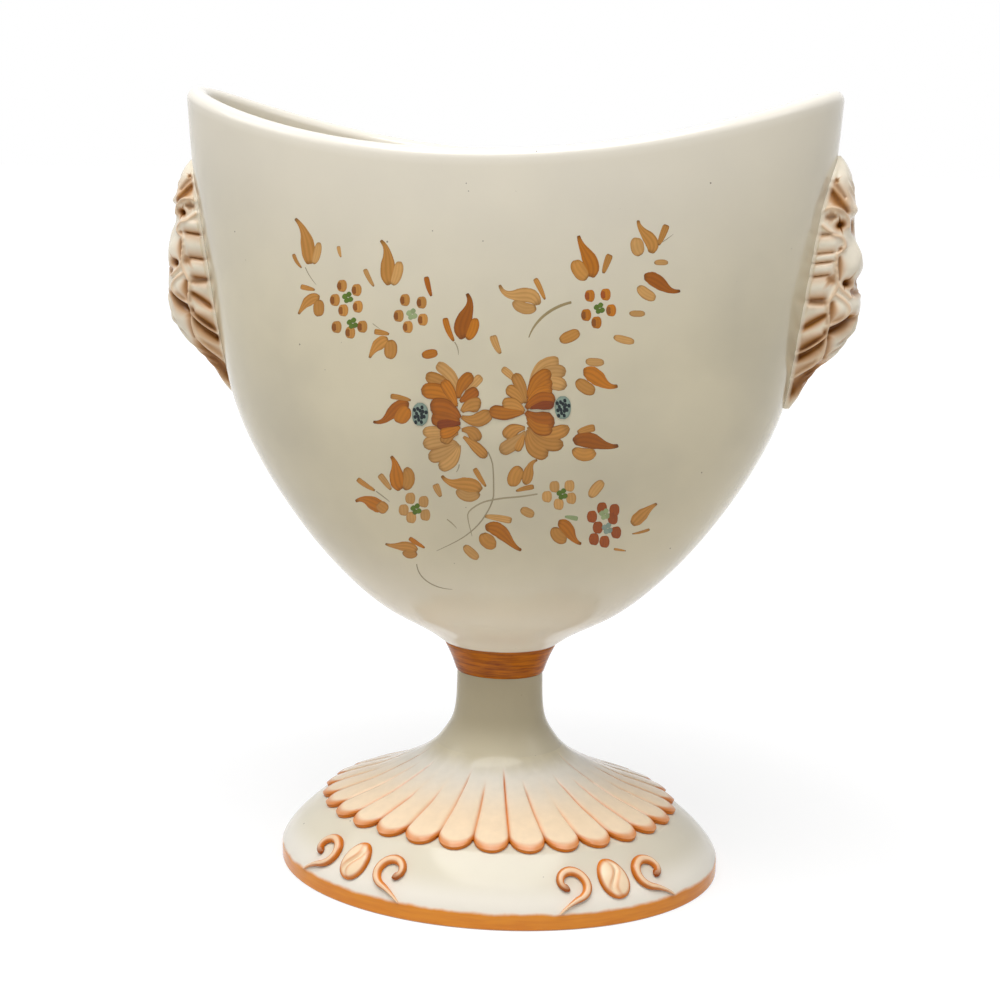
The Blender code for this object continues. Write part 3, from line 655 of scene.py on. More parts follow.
class URN_OT_apron(Operator):
    """Apron: petals over the flare, domed across, grooved between, with a rolled painted edge"""
    bl_idname = "urn.apron"
    bl_label = "Apron"

    def execute(self, context):
        s, colours = context.scene.urn_sizes, context.scene.urn_colours
        count = s.petals * PETAL_ROUND
        turn = -math.pi / 2 + steps_round(count)
        place = np.arange(count) / PETAL_ROUND
        valley = 1 - 2 * np.abs(np.mod(place + 0.5, 1.0) - 0.5)
        number = np.floor(place + 0.5).astype(int)
        reach = 0.55 + 0.35 * np.sin(number * 2.4) * np.sin(number * 1.1 + 1)
        round_share = 0.95
        scallop = ((1 - np.sqrt(1 - (round_share * valley) ** 2))
                   / (1 - math.sqrt(1 - round_share ** 2)))
        edge_height = s.apron_tips + s.petal_rise * scallop
        share = np.linspace(0, 1, PETAL_ROWS)[:, None]

        def row(part, sink):
            z = s.apron_top + (edge_height - s.apron_top) * part
            a, height = flare(s, z, sink)
            return np.stack([a * np.cos(turn), a * FOOT_OVAL * np.sin(turn), height], -1)

        groove = np.exp(-((1 - valley) / 0.085) ** 2)
        start = ramp(share, 1 - reach - 0.12, 1 - reach + 0.12)
        sink = s.flute_depth * (groove * start + 0.2 * (valley ** 2) * ramp(share, 0.3, 1))
        roll = ramp(share, 0.955, 1.0)
        outer = row(share, sink + 0.3 * s.apron_thickness * roll ** 2)
        lip = [row(1.0, sink[-1] * 0.5 + s.apron_thickness * t) for t in (0.45, 0.62, 0.8)]
        under = [row(t, s.apron_thickness) for t in (1.0, 0.85, 0.7, 0.55, 0.4, 0.2, 0.0)]
        rings = np.concatenate([outer, np.stack(lip + under)])
        line = ramp(share, 0.93, 0.985) * (0.75 + 0.25 * valley)
        fine_line = np.exp(-((1 - valley) / 0.1) ** 2) * start
        strength = 0.72 + 0.28 * np.sin(number * 1.7)
        wash = blend(colours.cream, colours.white, ramp(share, 0.0, 0.3))
        wash = blend(wash, np.asarray(colours.peach), 0.9 * ramp(share, 0.2, 0.8))
        tints = blend(wash, colours.outline, line)
        tints = blend(tints, colours.outline, 0.95 * fine_line * strength)
        tints = blend(tints, colours.outline_dark, fine_line * ramp(share, 0.86, 0.98) * 0.5)
        edge_tint = blend(colours.outline, colours.outline_dark, valley ** 3 * 0.7)
        tail = np.broadcast_to(edge_tint, (len(lip) + len(under), count, 3))
        shades = np.concatenate([tints, tail])
        add_piece("shell_apron_glazed", [(rings, None, None, shades)],
                  painted_glaze("peach_washed_glaze"), ["shell_apron"],
                  crease=50, hoop=True)
        return {"FINISHED"}


def mask_section(s, share, relief):
    """Rounded-square section of a mask: turn, sideways and outward places from edge to edge.

    It is a superellipse. Its half width and its height follow the outline and the middle line.
    """
    turn = np.radians(np.linspace(-90, 90, MASK_ACROSS))[None, :]
    width = s.mask_half_width * mask_outline(share)
    crown = relief * mask_profile(share) - s.mask_edge
    power = s.mask_squareness
    reach = (np.abs(np.sin(turn) / width) ** power
             + np.abs(np.cos(turn) / crown) ** power) ** (-1 / power)
    return turn, reach * np.sin(turn), s.mask_edge + reach * np.cos(turn)


def nearness(x, z, places, half, taper=0.0):
    """Bell across a bent line through the places: 1 on the line, fading over the half width.

    The half width shrinks towards the ends of the line by the taper.
    """
    bell = np.zeros_like(x)
    for (x0, z0), (x1, z1) in zip(places, places[1:]):
        share = np.clip(((x - x0) * (x1 - x0) + (z - z0) * (z1 - z0))
                        / ((x1 - x0) ** 2 + (z1 - z0) ** 2), 0, 1)
        wide = half * (1 - taper * (2 * share - 1) ** 2)
        away = (x - x0 - share * (x1 - x0)) ** 2 + (z - z0 - share * (z1 - z0)) ** 2
        bell = np.maximum(bell, np.exp(-away / wide ** 2))
    return bell


def bumps(table, x, z):
    """Sum of smooth bumps; each has a height, a place, a half width and a half height."""
    return sum(height * np.exp(-((x - middle) / wide) ** 2 - ((z - level) / tall) ** 2)
               for height, middle, level, wide, tall in table)


def mask_carving(beyond, side, out, z, tresses):
    """Carved relief square to the section of a mask, its brown stain and its peach wash.

    All is counted in carving steps. Locks of hair are half-round ridges on the sides. Thin
    raised lines part the hair, the face and the leaves of the beard, and between them lie the
    hollows of the eye, the mouth and the leaves. Nose, brow, cheek, whisker and chin are smooth
    bumps. The stain fills the hollows and runs out as a wash round them and along the lines.
    """
    locks = np.zeros_like(beyond)
    for middle, half in tresses:
        height = 1 - ((z - middle - 0.14 * (beyond - 1)) / half) ** 2
        locks = np.maximum(locks, np.clip(height, 0, 1) ** 0.62)
    hair = ramp(z, 36, 39) * (1 - ramp(z, 59, 61.5)) * (1 - ramp(beyond, 3.4, 6.2))
    carving = hair * (2.1 * locks - 0.9) + bumps(MASK_BUMPS, beyond, z)

    ridges = np.zeros_like(beyond)
    for places in MASK_RIDGES:
        ridges = np.maximum(ridges, nearness(beyond, z, through_points(places, 18), 0.7))
    beads = 0.86 + 0.14 * np.cos(2 * math.pi * z / 2.3) * ramp(z, 42, 45) * (1 - ramp(z, 52, 55))
    carving += 1.2 * ridges * beads

    stain, wash = np.zeros_like(beyond), np.zeros_like(beyond)
    for first, last, half, depth, dark in MASK_HOLLOWS:
        bell = nearness(beyond, z, (first, last), half, 0.45)
        carving -= depth * bell * (1 - 0.6 * ridges)
        stain = np.maximum(stain, dark * bell ** 0.8)
        wash = np.maximum(wash, min(1.15 * dark, 1.0) * bell ** 0.3)

    face = (1 - ramp(side, 7.0, 10.0)) * ramp(out, 4.0, 7.0)
    curl = (z + 1.3 * side + 1.2 * np.sin(0.55 * z)) / 5.4
    curls = 0.5 * np.cos(2 * math.pi * curl) * (1 - ramp(z, 30, 36)) * ramp(z, 4, 12)
    fall = 0.4 * np.cos(2 * math.pi * (z - 0.9 * side) / 4.6) * ramp(z, 70, 74)
    strands = (curls + fall) * (1 - np.exp(-(side / 1.4) ** 2))
    front = face * (bumps(MASK_FACE, side, z) + strands)
    carving += front
    stain = np.maximum(stain, np.clip(-front / 1.5, 0, 1) * 0.8)
    wash = np.maximum(wash, np.clip(-front / 0.8, 0, 1) * 0.7 * face)
    stain = stain * (1 - 0.9 * ridges ** 2)
    wash = np.maximum(wash * (1 - 0.55 * ridges), 0.4 * ridges)
    wash = np.maximum(wash, 0.8 * hair * (1 - locks) ** 0.7)
    stain = np.maximum(stain, 0.7 * hair * (1 - locks) ** 1.6)
    wash = np.maximum(wash, bumps(MASK_TEMPLE, beyond, z))
    edge = np.clip((out - 0.3) / 1.2, 0, 1)
    return carving * edge, np.clip(stain, 0, 1.2) * edge, np.clip(wash, 0, 1) * edge


def oval_turn(side, half_depth):
    """Turn at which an oval reaches a place to the side, kept short of its widest place."""
    return np.arcsin(np.clip(side / half_depth, -0.95, 0.95))


class URN_OT_masks(Operator):
    """Masks: carved heads laid on each end of the bowl, stained brown in their hollows"""
    bl_idname = "urn.masks"
    bl_label = "Masks"

    def execute(self, context):
        s, colours = context.scene.urn_sizes, context.scene.urn_colours
        bowl = Bowl(s)
        share = np.linspace(0, 1, MASK_ROWS)[:, None]
        # The stain lies brown in every hollow and leaves the high places cream
        material = painted_glaze("stained_mask_glaze", roughness=0.17)
        for name, hand, relief, shift, tresses in (
                ("mask_right", 1.0, s.mask_relief, 0.0, RIGHT_LOCKS),
                ("mask_left", -1.0, s.mask_relief_left, 4.5, LEFT_LOCKS)):
            low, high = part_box(name)
            step = s.mask_step
            z = low[2] + (high[2] - low[2]) * share
            a, b = bowl.extents(z)
            turn, side, out = mask_section(s, share, relief)
            # The bowl falls back by the inset beside its end, so less of the mask is beyond it
            inset = a * (1 - np.cos(oval_turn(side, b)))
            level = (high[2] - low[2]) / step * share - shift * np.sin(math.pi * share)
            carving, stain, wash = mask_carving((out - inset) / step, np.abs(side) / step,
                                                out / step, level, tresses)
            side = side + carving * step * np.sin(turn)
            out = out + carving * step * np.cos(turn)
            # The back lies on the bowl and is 2% wider than the front, which closes the edge
            back = 1.02 * side[:, -1:] * np.linspace(1, -1, MASK_BACK)[None, :]
            side = np.concatenate([side, back], 1)
            out = np.concatenate([out, np.zeros(back.shape)], 1)
            theta = oval_turn(side, b)
            normal = unit(np.stack([np.cos(theta) / a, np.sin(theta) / b], -1))
            x = a * np.cos(theta) + normal[..., 0] * s.mask_lift + out
            y = side + normal[..., 1] * s.mask_lift
            rings = np.stack([x * hand, y, z * np.ones_like(x)], -1)
            tints = blend(colours.mask_cream, colours.mask_peach, wash)
            tints = blend(tints, colours.mask_brown, stain)
            rear = np.broadcast_to(np.asarray(colours.mask_cream), (*back.shape, 3))
            tints = np.concatenate([tints, rear], 1)
            add_piece(name + "_carved", [(rings, None, None, tints)], material,
                      [name], crease=75)
        return {"FINISHED"}


def on_plinth(s, angle, u, v, lift):
    """Points on the curved plinth: u metres along it and v up it from a middle, lifted off."""
    base = math.radians(angle) - math.pi / 2
    a, _ = plinth(s, SPRIG_LEVEL)
    pace = math.hypot(a * math.sin(base), a * FOOT_OVAL * math.cos(base))
    low, high = plinth(s, 0.0), plinth(s, 1.0)
    slope = math.hypot(low[0] - high[0], high[1] - low[1])
    turn = base + np.asarray(u) / pace
    share = np.clip(SPRIG_LEVEL + np.asarray(v) / slope, 0.0, 1.0)

    def point(p, t):
        length_here, z = plinth(s, p)
        return np.stack([length_here * np.cos(t), length_here * FOOT_OVAL * np.sin(t), z], -1)

    step = 1e-3
    along = point(share, turn + step) - point(share, turn - step)
    up = point(share + step, turn) - point(np.maximum(share - step, 0), turn)
    here = point(share, turn)
    return here + unit(np.cross(along, up)) * (s.seam + np.asarray(lift))[..., None]


def scroll_path(s, turn):
    """Spiral that opens quickly from the eye (0) and swings out into a tail (1)."""
    def spiral(t):
        sweep = t / CURL_END
        angle = np.radians(228 - 305 * sweep)
        radius = 0.30 + 0.50 * (1 - np.exp(-sweep / 0.13)) + 0.05 * sweep + 0.22 * sweep ** 4
        return s.scroll_radius * np.stack([radius * np.cos(angle), radius * np.sin(angle)], -1)

    start, before = spiral(np.array(CURL_END - 0.0001)), spiral(np.array(CURL_END - 0.01))
    heading = math.atan2(start[1] - before[1], start[0] - before[0])
    reach = np.clip((turn - CURL_END) / (1 - CURL_END), 0, 1)
    aim = heading + 0.25 * reach
    tail = start + reach[:, None] * s.scroll_tail * np.stack([np.cos(aim), np.sin(aim)], -1)
    return np.where((turn < CURL_END)[:, None], spiral(np.minimum(turn, CURL_END)), tail)


class URN_OT_sprigs(Operator):
    """Sprigs: half-round scrolls along a spiral and creased oval buds, laid on the plinth"""
    bl_idname = "urn.sprigs"
    bl_label = "Sprigs"

    def execute(self, context):
        s, colours = context.scene.urn_sizes, context.scene.urn_colours
        # Peach relief with an orange stroke laid round each edge, under the same shine
        material = painted_glaze("orange_stroke_glaze")
        pitch = math.degrees(s.sprig_pitch)
        for place, angle in SPRIG_GROUPS:
            for letter, side in (("a", -1), ("b", 1)):
                self.scroll(s, colours, material, f"scroll_{place}_{letter}",
                            angle + side * pitch, -side)
            self.bud(s, colours, material, "bud_" + place, angle)
        return {"FINISHED"}

    def scroll(self, s, colours, material, name, angle, hand):
        """Band along the spiral: half-round, swelling at the eye and fading at the tail."""
        turn = np.linspace(0, 1, SCROLL_ROWS)
        path = scroll_path(s, turn)
        heading = unit(np.gradient(path, axis=0))
        swell = 0.62 + 0.5 * np.sin(math.pi * np.minimum(1, turn * 1.15))
        swell += 0.5 * np.exp(-(turn / 0.06) ** 2)
        fade = 1 - 0.6 * np.clip((turn - 0.75) / 0.25, 0, 1)
        ends = np.sqrt(np.clip(1 - (2 * turn - 1) ** 24, 0.02, 1))
        width = (s.scroll_stroke * swell * fade * ends)[:, None]
        arc = np.linspace(0, math.pi, SCROLL_ACROSS)[None, :]
        side, rise = np.cos(arc), np.sin(arc) ** 0.8
        side = np.concatenate([side, [[-0.5, 0.0, 0.5]]], 1)
        rise = np.concatenate([rise, [[0.0, 0.0, 0.0]]], 1)
        across = np.stack([-heading[:, 1], heading[:, 0]], -1)[:, None]
        flat = path[:, None] + across * (width * side)[..., None]
        rings = on_plinth(s, angle, hand * flat[..., 0], flat[..., 1],
                          s.scroll_lift * (fade * ends)[:, None] * rise)
        edge = ramp(np.abs(side), 0.25, 0.8) * fade[:, None] ** 0.5
        eye = np.exp(-(turn / 0.10) ** 2)[:, None]
        stroke = np.clip(0.2 + edge, 0, 1) * fade[:, None]
        tints = blend(colours.peach, colours.outline, stroke)
        tints = blend(tints, colours.outline_dark, 0.8 * eye + 0.35 * edge * ramp(side, 0, 1))
        add_piece(name + "_glazed", [(rings, None, None, tints)], material,
                  [name], crease=60)

    def bud(self, s, colours, material, name, angle):
        """Oval dome whose rim rises steeply, with an S-shaped crease along its length."""
        turn = steps_round(BUD_ROUND)[None, :]
        reach = np.linspace(1, 0.04, BUD_ROWS)[:, None]
        u, v = reach * np.cos(turn), reach * np.sin(turn)
        line = u - 0.34 * np.sin(math.pi * v)
        crease = np.exp(-(line / 0.16) ** 2) * (1 - reach ** 3)
        dome = np.clip(1 - reach ** 2, 0, 1) ** 0.45
        lift = s.bud_lift * np.clip(dome - 0.42 * crease, 0, 1)
        rings = on_plinth(s, angle, u * s.bud_half_width, v * s.bud_half_height, lift)
        under, crown = (on_plinth(s, angle, 0.0, 0.0, [height])[0]
                        for height in (0.0, s.bud_lift * 0.58))
        border = ramp(reach, 0.72, 0.95)
        flank = np.exp(-((line - 0.24) / 0.1) ** 2) + np.exp(-((line + 0.24) / 0.1) ** 2)
        stroke = border + 0.55 * flank * (1 - reach ** 4)
        tints = blend(colours.peach, colours.outline, stroke)
        pool = 0.2 * border * (1 + np.sin(turn * 2 + 1))
        tints = blend(tints, colours.outline_dark, pool)
        add_piece(name + "_glazed", [(rings, under, crown, tints)], material,
                  [name], crease=60)


# Camera of the picture: place, aim and lens, matched to the outline of the urn
CAMERA_PLACE = (0.1078, -0.5902, 0.25536)
CAMERA_TURN = (78.76, 10.426, 0.78)
CAMERA_LENS = 61.29
SENSOR = 36.0
PICTURE_SIZE = 1000
PART_ZOOM = 6


def camera_frame():
    """Turn of the camera: tilt about its right, roll about its sight line, then the heading."""
    tilt, heading, roll = (math.radians(v) for v in CAMERA_TURN)
    return (Matrix.Rotation(heading, 3, "Z") @ Matrix.Rotation(tilt, 3, "X")
            @ Matrix.Rotation(roll, 3, "Z"))


# Brush marks: widths along a mark, as shares of its half width
MARKS = {
    "leaf": ((0.0, 0.2), (0.07, 0.62), (0.25, 1.08), (0.45, 1.04), (0.62, 0.7), (0.8, 0.4),
             (1.0, 0.2)),
    "lobe": ((0.0, 0.25), (0.08, 0.6), (0.25, 0.92), (0.5, 1.0), (0.78, 0.9), (0.93, 0.6),
             (1.0, 0.3)),
    "dash": ((0.0, 0.3), (0.06, 0.8), (0.2, 1.0), (0.6, 0.85), (0.9, 0.5), (1.0, 0.22)),
    "petal": ((0.0, 0.25), (0.25, 0.6), (0.6, 1.0), (0.85, 0.95), (0.95, 0.65), (1.0, 0.3)),
    "berry": ((0.0, 0.3), (0.1, 0.68), (0.3, 0.95), (0.5, 1.0), (0.7, 0.95), (0.9, 0.68),
              (1.0, 0.3)),
    "stem": ((0.0, 0.9), (0.3, 1.0), (0.7, 0.8), (1.0, 0.3)),
}

# Paints: body, edge and end of a mark, as sRGB hex
PAINTS = {
    "amber": ("#c87a18", "#8a4a08", "#4d2a08"),
    "deep": ("#b06208", "#783f04", "#412204"),
    "tan": ("#cc9044", "#945c1c", "#56340e"),
    "pale": ("#d4a260", "#a06c30", "#64431c"),
    "rust": ("#964406", "#6a2c04", "#461b05"),
    "red": ("#a85418", "#80380c", "#5a2208"),
    "spot": ("#985a1f", "#7a4210", "#63330c"),
    "green": ("#5f7a26", "#4f6620", "#435a1e"),
    "moss": ("#9fae7c", "#86976a", "#7b8c60"),
    "sea": ("#8fa294", "#73877b", "#66796e"),
    "ink": ("#182528", "#131d20", "#10181a"),
    "thread": ("#aa9d80", "#a29476", "#978a6c"),
    "reed": ("#a6946a", "#9b885e", "#7f6f4c"),
}

# The spray: marks read off four enlarged parts of the picture. Each part has the corner
# that its points are counted from, and PART_ZOOM of its units are one unit of the picture. A
# mark is its kind, paint and half width, then across and down for each point of its middle line.
SPRAY = (
    ((280, 200), (
        ("leaf", "tan", 44, 180, 396, 170, 300, 150, 205, 82, 104),
        ("lobe", "pale", 24, 200, 386, 222, 320, 234, 252),
        ("dash", "tan", 13, 80, 320, 104, 376, 132, 410),
        ("dash", "pale", 13, 350, 274, 356, 310, 366, 346),
        ("stem", "thread", 3, 150, 400, 182, 462, 220, 512),
        ("leaf", "tan", 46, 666, 518, 646, 420, 644, 320, 594, 234),
        ("lobe", "pale", 32, 672, 512, 704, 440, 716, 366),
        ("dash", "pale", 17, 508, 410, 530, 462, 566, 522),
        ("dash", "tan", 18, 120, 518, 160, 528, 212, 540),
        ("leaf", "tan", 34, 246, 588, 180, 600, 140, 640, 108, 690),
        ("lobe", "tan", 34, 236, 596, 232, 650, 234, 700),
        ("leaf", "tan", 38, 655, 834, 600, 860, 562, 900, 536, 954),
        ("lobe", "tan", 40, 660, 838, 664, 900, 652, 954),
        ("dash", "tan", 20, 562, 788, 610, 796, 658, 806),
        ("stem", "thread", 3, 555, 740, 580, 760, 604, 775),
        ("leaf", "deep", 50, 1110, 842, 1098, 735, 1136, 640, 1112, 550),
        ("lobe", "amber", 32, 1120, 838, 1158, 775, 1172, 706),
        ("dash", "amber", 22, 990, 702, 1010, 780, 1046, 852),
        ("stem", "thread", 4, 1046, 850, 1066, 890, 1070, 932),
        ("dash", "deep", 19, 876, 455, 890, 520, 910, 582),
        ("lobe", "amber", 28, 850, 932, 900, 924, 946, 914),
        ("dash", "pale", 26, 1276, 808, 1296, 870, 1326, 926),
    )),
    ((490, 200), (
        ("leaf", "pale", 46, 292, 646, 220, 570, 130, 570, 54, 494),
        ("lobe", "pale", 36, 280, 644, 210, 650, 140, 604),
        ("dash", "tan", 19, 268, 466, 300, 530, 332, 602),
        ("stem", "reed", 10, 498, 612, 390, 650, 292, 725, 230, 834),
        ("leaf", "amber", 48, 598, 474, 606, 380, 566, 300, 530, 203),
        ("lobe", "tan", 46, 586, 472, 536, 420, 514, 358),
        ("dash", "tan", 24, 722, 322, 700, 380, 678, 444),
        ("leaf", "tan", 42, 956, 328, 962, 240, 920, 190, 890, 112),
        ("lobe", "pale", 42, 904, 334, 884, 280, 884, 224),
        ("dash", "tan", 24, 1062, 144, 1036, 210, 1008, 276),
        ("stem", "thread", 3, 1030, 255, 1070, 228, 1102, 204),
        ("lobe", "pale", 18, 984, 378, 1026, 374, 1070, 378),
        ("leaf", "deep", 44, 914, 466, 990, 480, 1062, 532, 1152, 541),
        ("lobe", "pale", 34, 890, 514, 930, 558, 996, 590),
        ("lobe", "pale", 20, 834, 680, 880, 682, 932, 682),
        ("lobe", "pale", 24, 740, 820, 800, 838, 868, 852),
        ("lobe", "tan", 36, 416, 844, 476, 820, 538, 790),
        ("lobe", "pale", 26, 572, 966, 630, 974, 686, 974),
        ("leaf", "amber", 50, 548, 1036, 620, 1050, 690, 1104, 776, 1112),
        ("lobe", "tan", 40, 522, 1076, 566, 1120, 632, 1150),
    )),
    ((350, 350), (
        ("leaf", "deep", 40, 366, 334, 280, 350, 220, 410, 128, 428),
        ("lobe", "amber", 48, 356, 346, 316, 390, 290, 440),
        ("dash", "tan", 19, 238, 276, 300, 286, 370, 304),
        ("leaf", "amber", 46, 312, 844, 280, 760, 274, 700, 240, 632),
        ("lobe", "tan", 36, 322, 838, 354, 775, 330, 706),
        ("dash", "pale", 22, 174, 744, 210, 790, 248, 842),
        ("dash", "tan", 18, 40, 770, 90, 808, 154, 846),
        ("stem", "thread", 4, 154, 846, 200, 880, 240, 912),
        ("leaf", "amber", 42, 214, 952, 140, 920, 90, 898, 26, 914),
        ("lobe", "tan", 36, 168, 918, 190, 940, 222, 968),
        ("dash", "pale", 24, 510, 802, 526, 840, 546, 884),
        ("leaf", "tan", 46, 792, 856, 710, 810, 620, 800, 545, 745),
        ("lobe", "pale", 32, 780, 858, 710, 880, 640, 836),
        ("dash", "tan", 18, 744, 706, 776, 760, 818, 824),
        ("leaf", "tan", 32, 408, 1212, 340, 1180, 280, 1176, 205, 1160),
        ("lobe", "tan", 24, 404, 1218, 360, 1228, 318, 1206),
        ("dash", "amber", 16, 352, 1126, 400, 1158, 452, 1190),
        ("lobe", "pale", 28, 684, 1172, 722, 1212, 772, 1252),
        ("stem", "thread", 5, 820, 592, 856, 690, 862, 860, 800, 1010, 700, 1110, 500, 1216),
        ("stem", "thread", 6, 1140, 862, 1020, 880, 900, 892, 780, 922, 706, 990, 736, 1132),
        ("stem", "thread", 4, 400, 1276, 424, 1350, 500, 1410, 622, 1436),
        ("stem", "thread", 4, 580, 1015, 612, 1040, 642, 1072),
        ("stem", "thread", 4, 655, 685, 650, 710, 636, 734),
    )),
    ((490, 350), (
        ("leaf", "deep", 50, 492, 562, 590, 540, 690, 572, 780, 570),
        ("lobe", "tan", 40, 498, 590, 560, 628, 634, 606),
        ("dash", "tan", 26, 634, 466, 580, 476, 520, 496),
        ("leaf", "tan", 34, 196, 806, 228, 750, 240, 700, 292, 658),
        ("lobe", "tan", 44, 190, 704, 150, 760, 140, 822),
        ("dash", "tan", 18, 268, 820, 210, 830, 152, 848),
        ("lobe", "pale", 32, 600, 886, 630, 840, 682, 788),
        ("dash", "moss", 16, 530, 1014, 490, 1006, 446, 1000),
        ("lobe", "pale", 28, 184, 952, 220, 972, 266, 992),
        ("dash", "pale", 24, 136, 1026, 60, 1010, -40, 996),
        ("leaf", "amber", 44, -40, 1072, 50, 1080, 120, 1150, 198, 1204),
        ("lobe", "tan", 44, -42, 1096, -10, 1150, 40, 1166),
        ("leaf", "tan", 38, 846, 1052, 890, 1010, 940, 965, 1008, 918),
        ("dash", "tan", 10, 962, 1074, 910, 1092, 848, 1104),
        ("dash", "tan", 9, 740, 1194, 780, 1200, 818, 1206),
        ("leaf", "amber", 42, 400, 1036, 452, 1060, 500, 1130, 556, 1165),
        ("lobe", "tan", 40, 392, 1060, 404, 1110, 462, 1140),
    )),
)

# Small flowers: corner, middle, its paint, and five or fewer round petals with their paint
FLOWERS = (
    ((280, 200), (408, 590), "green", "tan",
     ((370, 515), (458, 540), (328, 600), (465, 640), (378, 662))),
    ((280, 200), (436, 745), "green", "tan", ((338, 762), (492, 760), (420, 795))),
    ((280, 200), (793, 690), "moss", "tan",
     ((748, 600), (848, 615), (710, 695), (855, 718), (765, 762))),
    ((490, 200), (658, 655), "green", "amber",
     ((597, 575), (692, 567), (575, 690), (725, 662), (637, 735))),
    ((350, 350), (398, 960), "green", "pale",
     ((360, 890), (440, 910), (320, 960), (365, 1005), (450, 990))),
    ((490, 350), (435, 870), "green", "pale",
     ((385, 820), (475, 815), (340, 880), (485, 890), (410, 925))),
    ((490, 350), (690, 990), "moss", "red",
     ((670, 950), (745, 960), (610, 1000), (735, 1010))),
    ((490, 350), (706, 1076), "sea", "red",
     ((645, 1065), (755, 1095), (622, 1135), (685, 1150))),
)

# Blooms: corner, eye, and petals from the back of the pile to its front: paint, half width, points
BLOOMS = (
    ((350, 350), (420, 385), (
        ("pale", 40, 660, 300, 590, 140, 512, 82), ("pale", 30, 690, 260, 750, 195, 792, 156),
        ("tan", 40, 640, 300, 540, 190, 450, 156), ("pale", 34, 620, 500, 540, 490, 436, 496),
        ("pale", 42, 640, 560, 540, 550, 440, 572), ("pale", 44, 650, 560, 560, 620, 470, 640),
        ("pale", 42, 655, 570, 610, 660, 532, 702), ("tan", 38, 670, 480, 730, 490, 766, 548),
        ("tan", 32, 680, 520, 750, 576, 818, 644), ("amber", 50, 640, 330, 520, 250, 428, 250),
        ("amber", 38, 650, 290, 680, 200, 736, 148), ("deep", 36, 660, 310, 720, 270, 768, 240),
        ("tan", 46, 670, 370, 730, 330, 786, 330), ("tan", 44, 670, 400, 760, 420, 842, 368),
        ("amber", 34, 640, 340, 600, 250, 556, 182), ("tan", 34, 650, 500, 590, 520, 560, 560),
        ("deep", 58, 660, 410, 570, 350, 482, 344), ("deep", 50, 660, 430, 580, 420, 492, 396),
        ("rust", 34, 664, 440, 600, 440, 520, 450), ("amber", 36, 660, 460, 600, 490, 540, 500),
    )),
    ((490, 350), (435, 345), (
        ("pale", 44, 240, 220, 330, 90, 424, 70), ("pale", 24, 160, 200, 120, 150, 70, 108),
        ("pale", 44, 250, 240, 360, 130, 458, 142), ("pale", 44, 250, 270, 360, 195, 456, 226),
        ("tan", 50, 230, 480, 270, 590, 350, 622), ("tan", 44, 230, 460, 320, 550, 440, 562),
        ("tan", 42, 225, 430, 330, 500, 474, 462), ("tan", 36, 215, 320, 180, 210, 146, 142),
        ("tan", 36, 200, 320, 150, 260, 98, 228), ("tan", 40, 210, 470, 140, 480, 92, 528),
        ("pale", 42, 215, 490, 140, 560, 58, 606), ("tan", 26, 205, 500, 180, 560, 156, 606),
        ("amber", 42, 230, 290, 290, 180, 366, 136),
        ("amber", 40, 230, 310, 310, 220, 372, 190), ("tan", 42, 205, 370, 140, 330, 74, 330),
        ("amber", 42, 205, 370, 110, 380, -4, 360), ("amber", 36, 225, 330, 310, 250, 374, 246),
        ("deep", 54, 215, 370, 300, 420, 386, 420), ("amber", 40, 225, 400, 300, 470, 372, 470),
        ("deep", 50, 215, 350, 300, 300, 388, 312), ("rust", 30, 240, 350, 310, 330, 384, 330),
    )),
)


def through_points(points, count):
    """Curve through the points: the polynomial that meets each at its share of the way."""
    flat = np.array(points, float).reshape(-1, 2)
    steps = np.hypot(*np.diff(flat, axis=0).T)
    at = np.concatenate([[0], np.cumsum(steps)]) / steps.sum()
    t = np.linspace(0, 1, count)
    if len(at) > 4:
        return np.stack([smooth_line(np.stack([at, flat[:, k]], -1))(t) for k in (0, 1)], -1)
    weights = np.ones((count, len(at)))
    for i in range(len(at)):
        for j in range(len(at)):
            if i != j:
                weights[:, i] *= (t - at[j]) / (at[i] - at[j])
    return weights @ flat


def seen_on_bowl(s, u, v):
    """Points of the bowl's front that the camera sees at picture units u, v, and its normals.

    Each sight line is halved between a plane before the bowl and one inside it until it meets
    the oval of its height.
    """
    turn = np.array(camera_frame())
    zoom = CAMERA_LENS / SENSOR * PICTURE_SIZE
    middle = PICTURE_SIZE / 2
    rays = np.stack([(u - middle) / zoom, (middle - v) / zoom, -np.ones_like(u)], -1) @ turn.T
    eye = np.array(CAMERA_PLACE)
    bowl = Bowl(s)

    def field(p):
        a, b = bowl.extents(p[..., 2])
        return (p[..., 0] / a) ** 2 + (p[..., 1] / b) ** 2 - 1

    def along(depth):
        return eye + rays * ((depth - eye[1]) / rays[..., 1])[..., None]

    near, far = np.full(u.shape, -0.08), np.full(u.shape, -0.004)
    for _ in range(40):
        halfway = (near + far) / 2
        inside = field(along(halfway)) < 0
        near, far = np.where(inside, near, halfway), np.where(inside, halfway, far)
    p = along(far)
    here, steps = field(p), 1e-5 * np.eye(3)
    return p, unit(np.stack([field(p + step) - here for step in steps], -1))


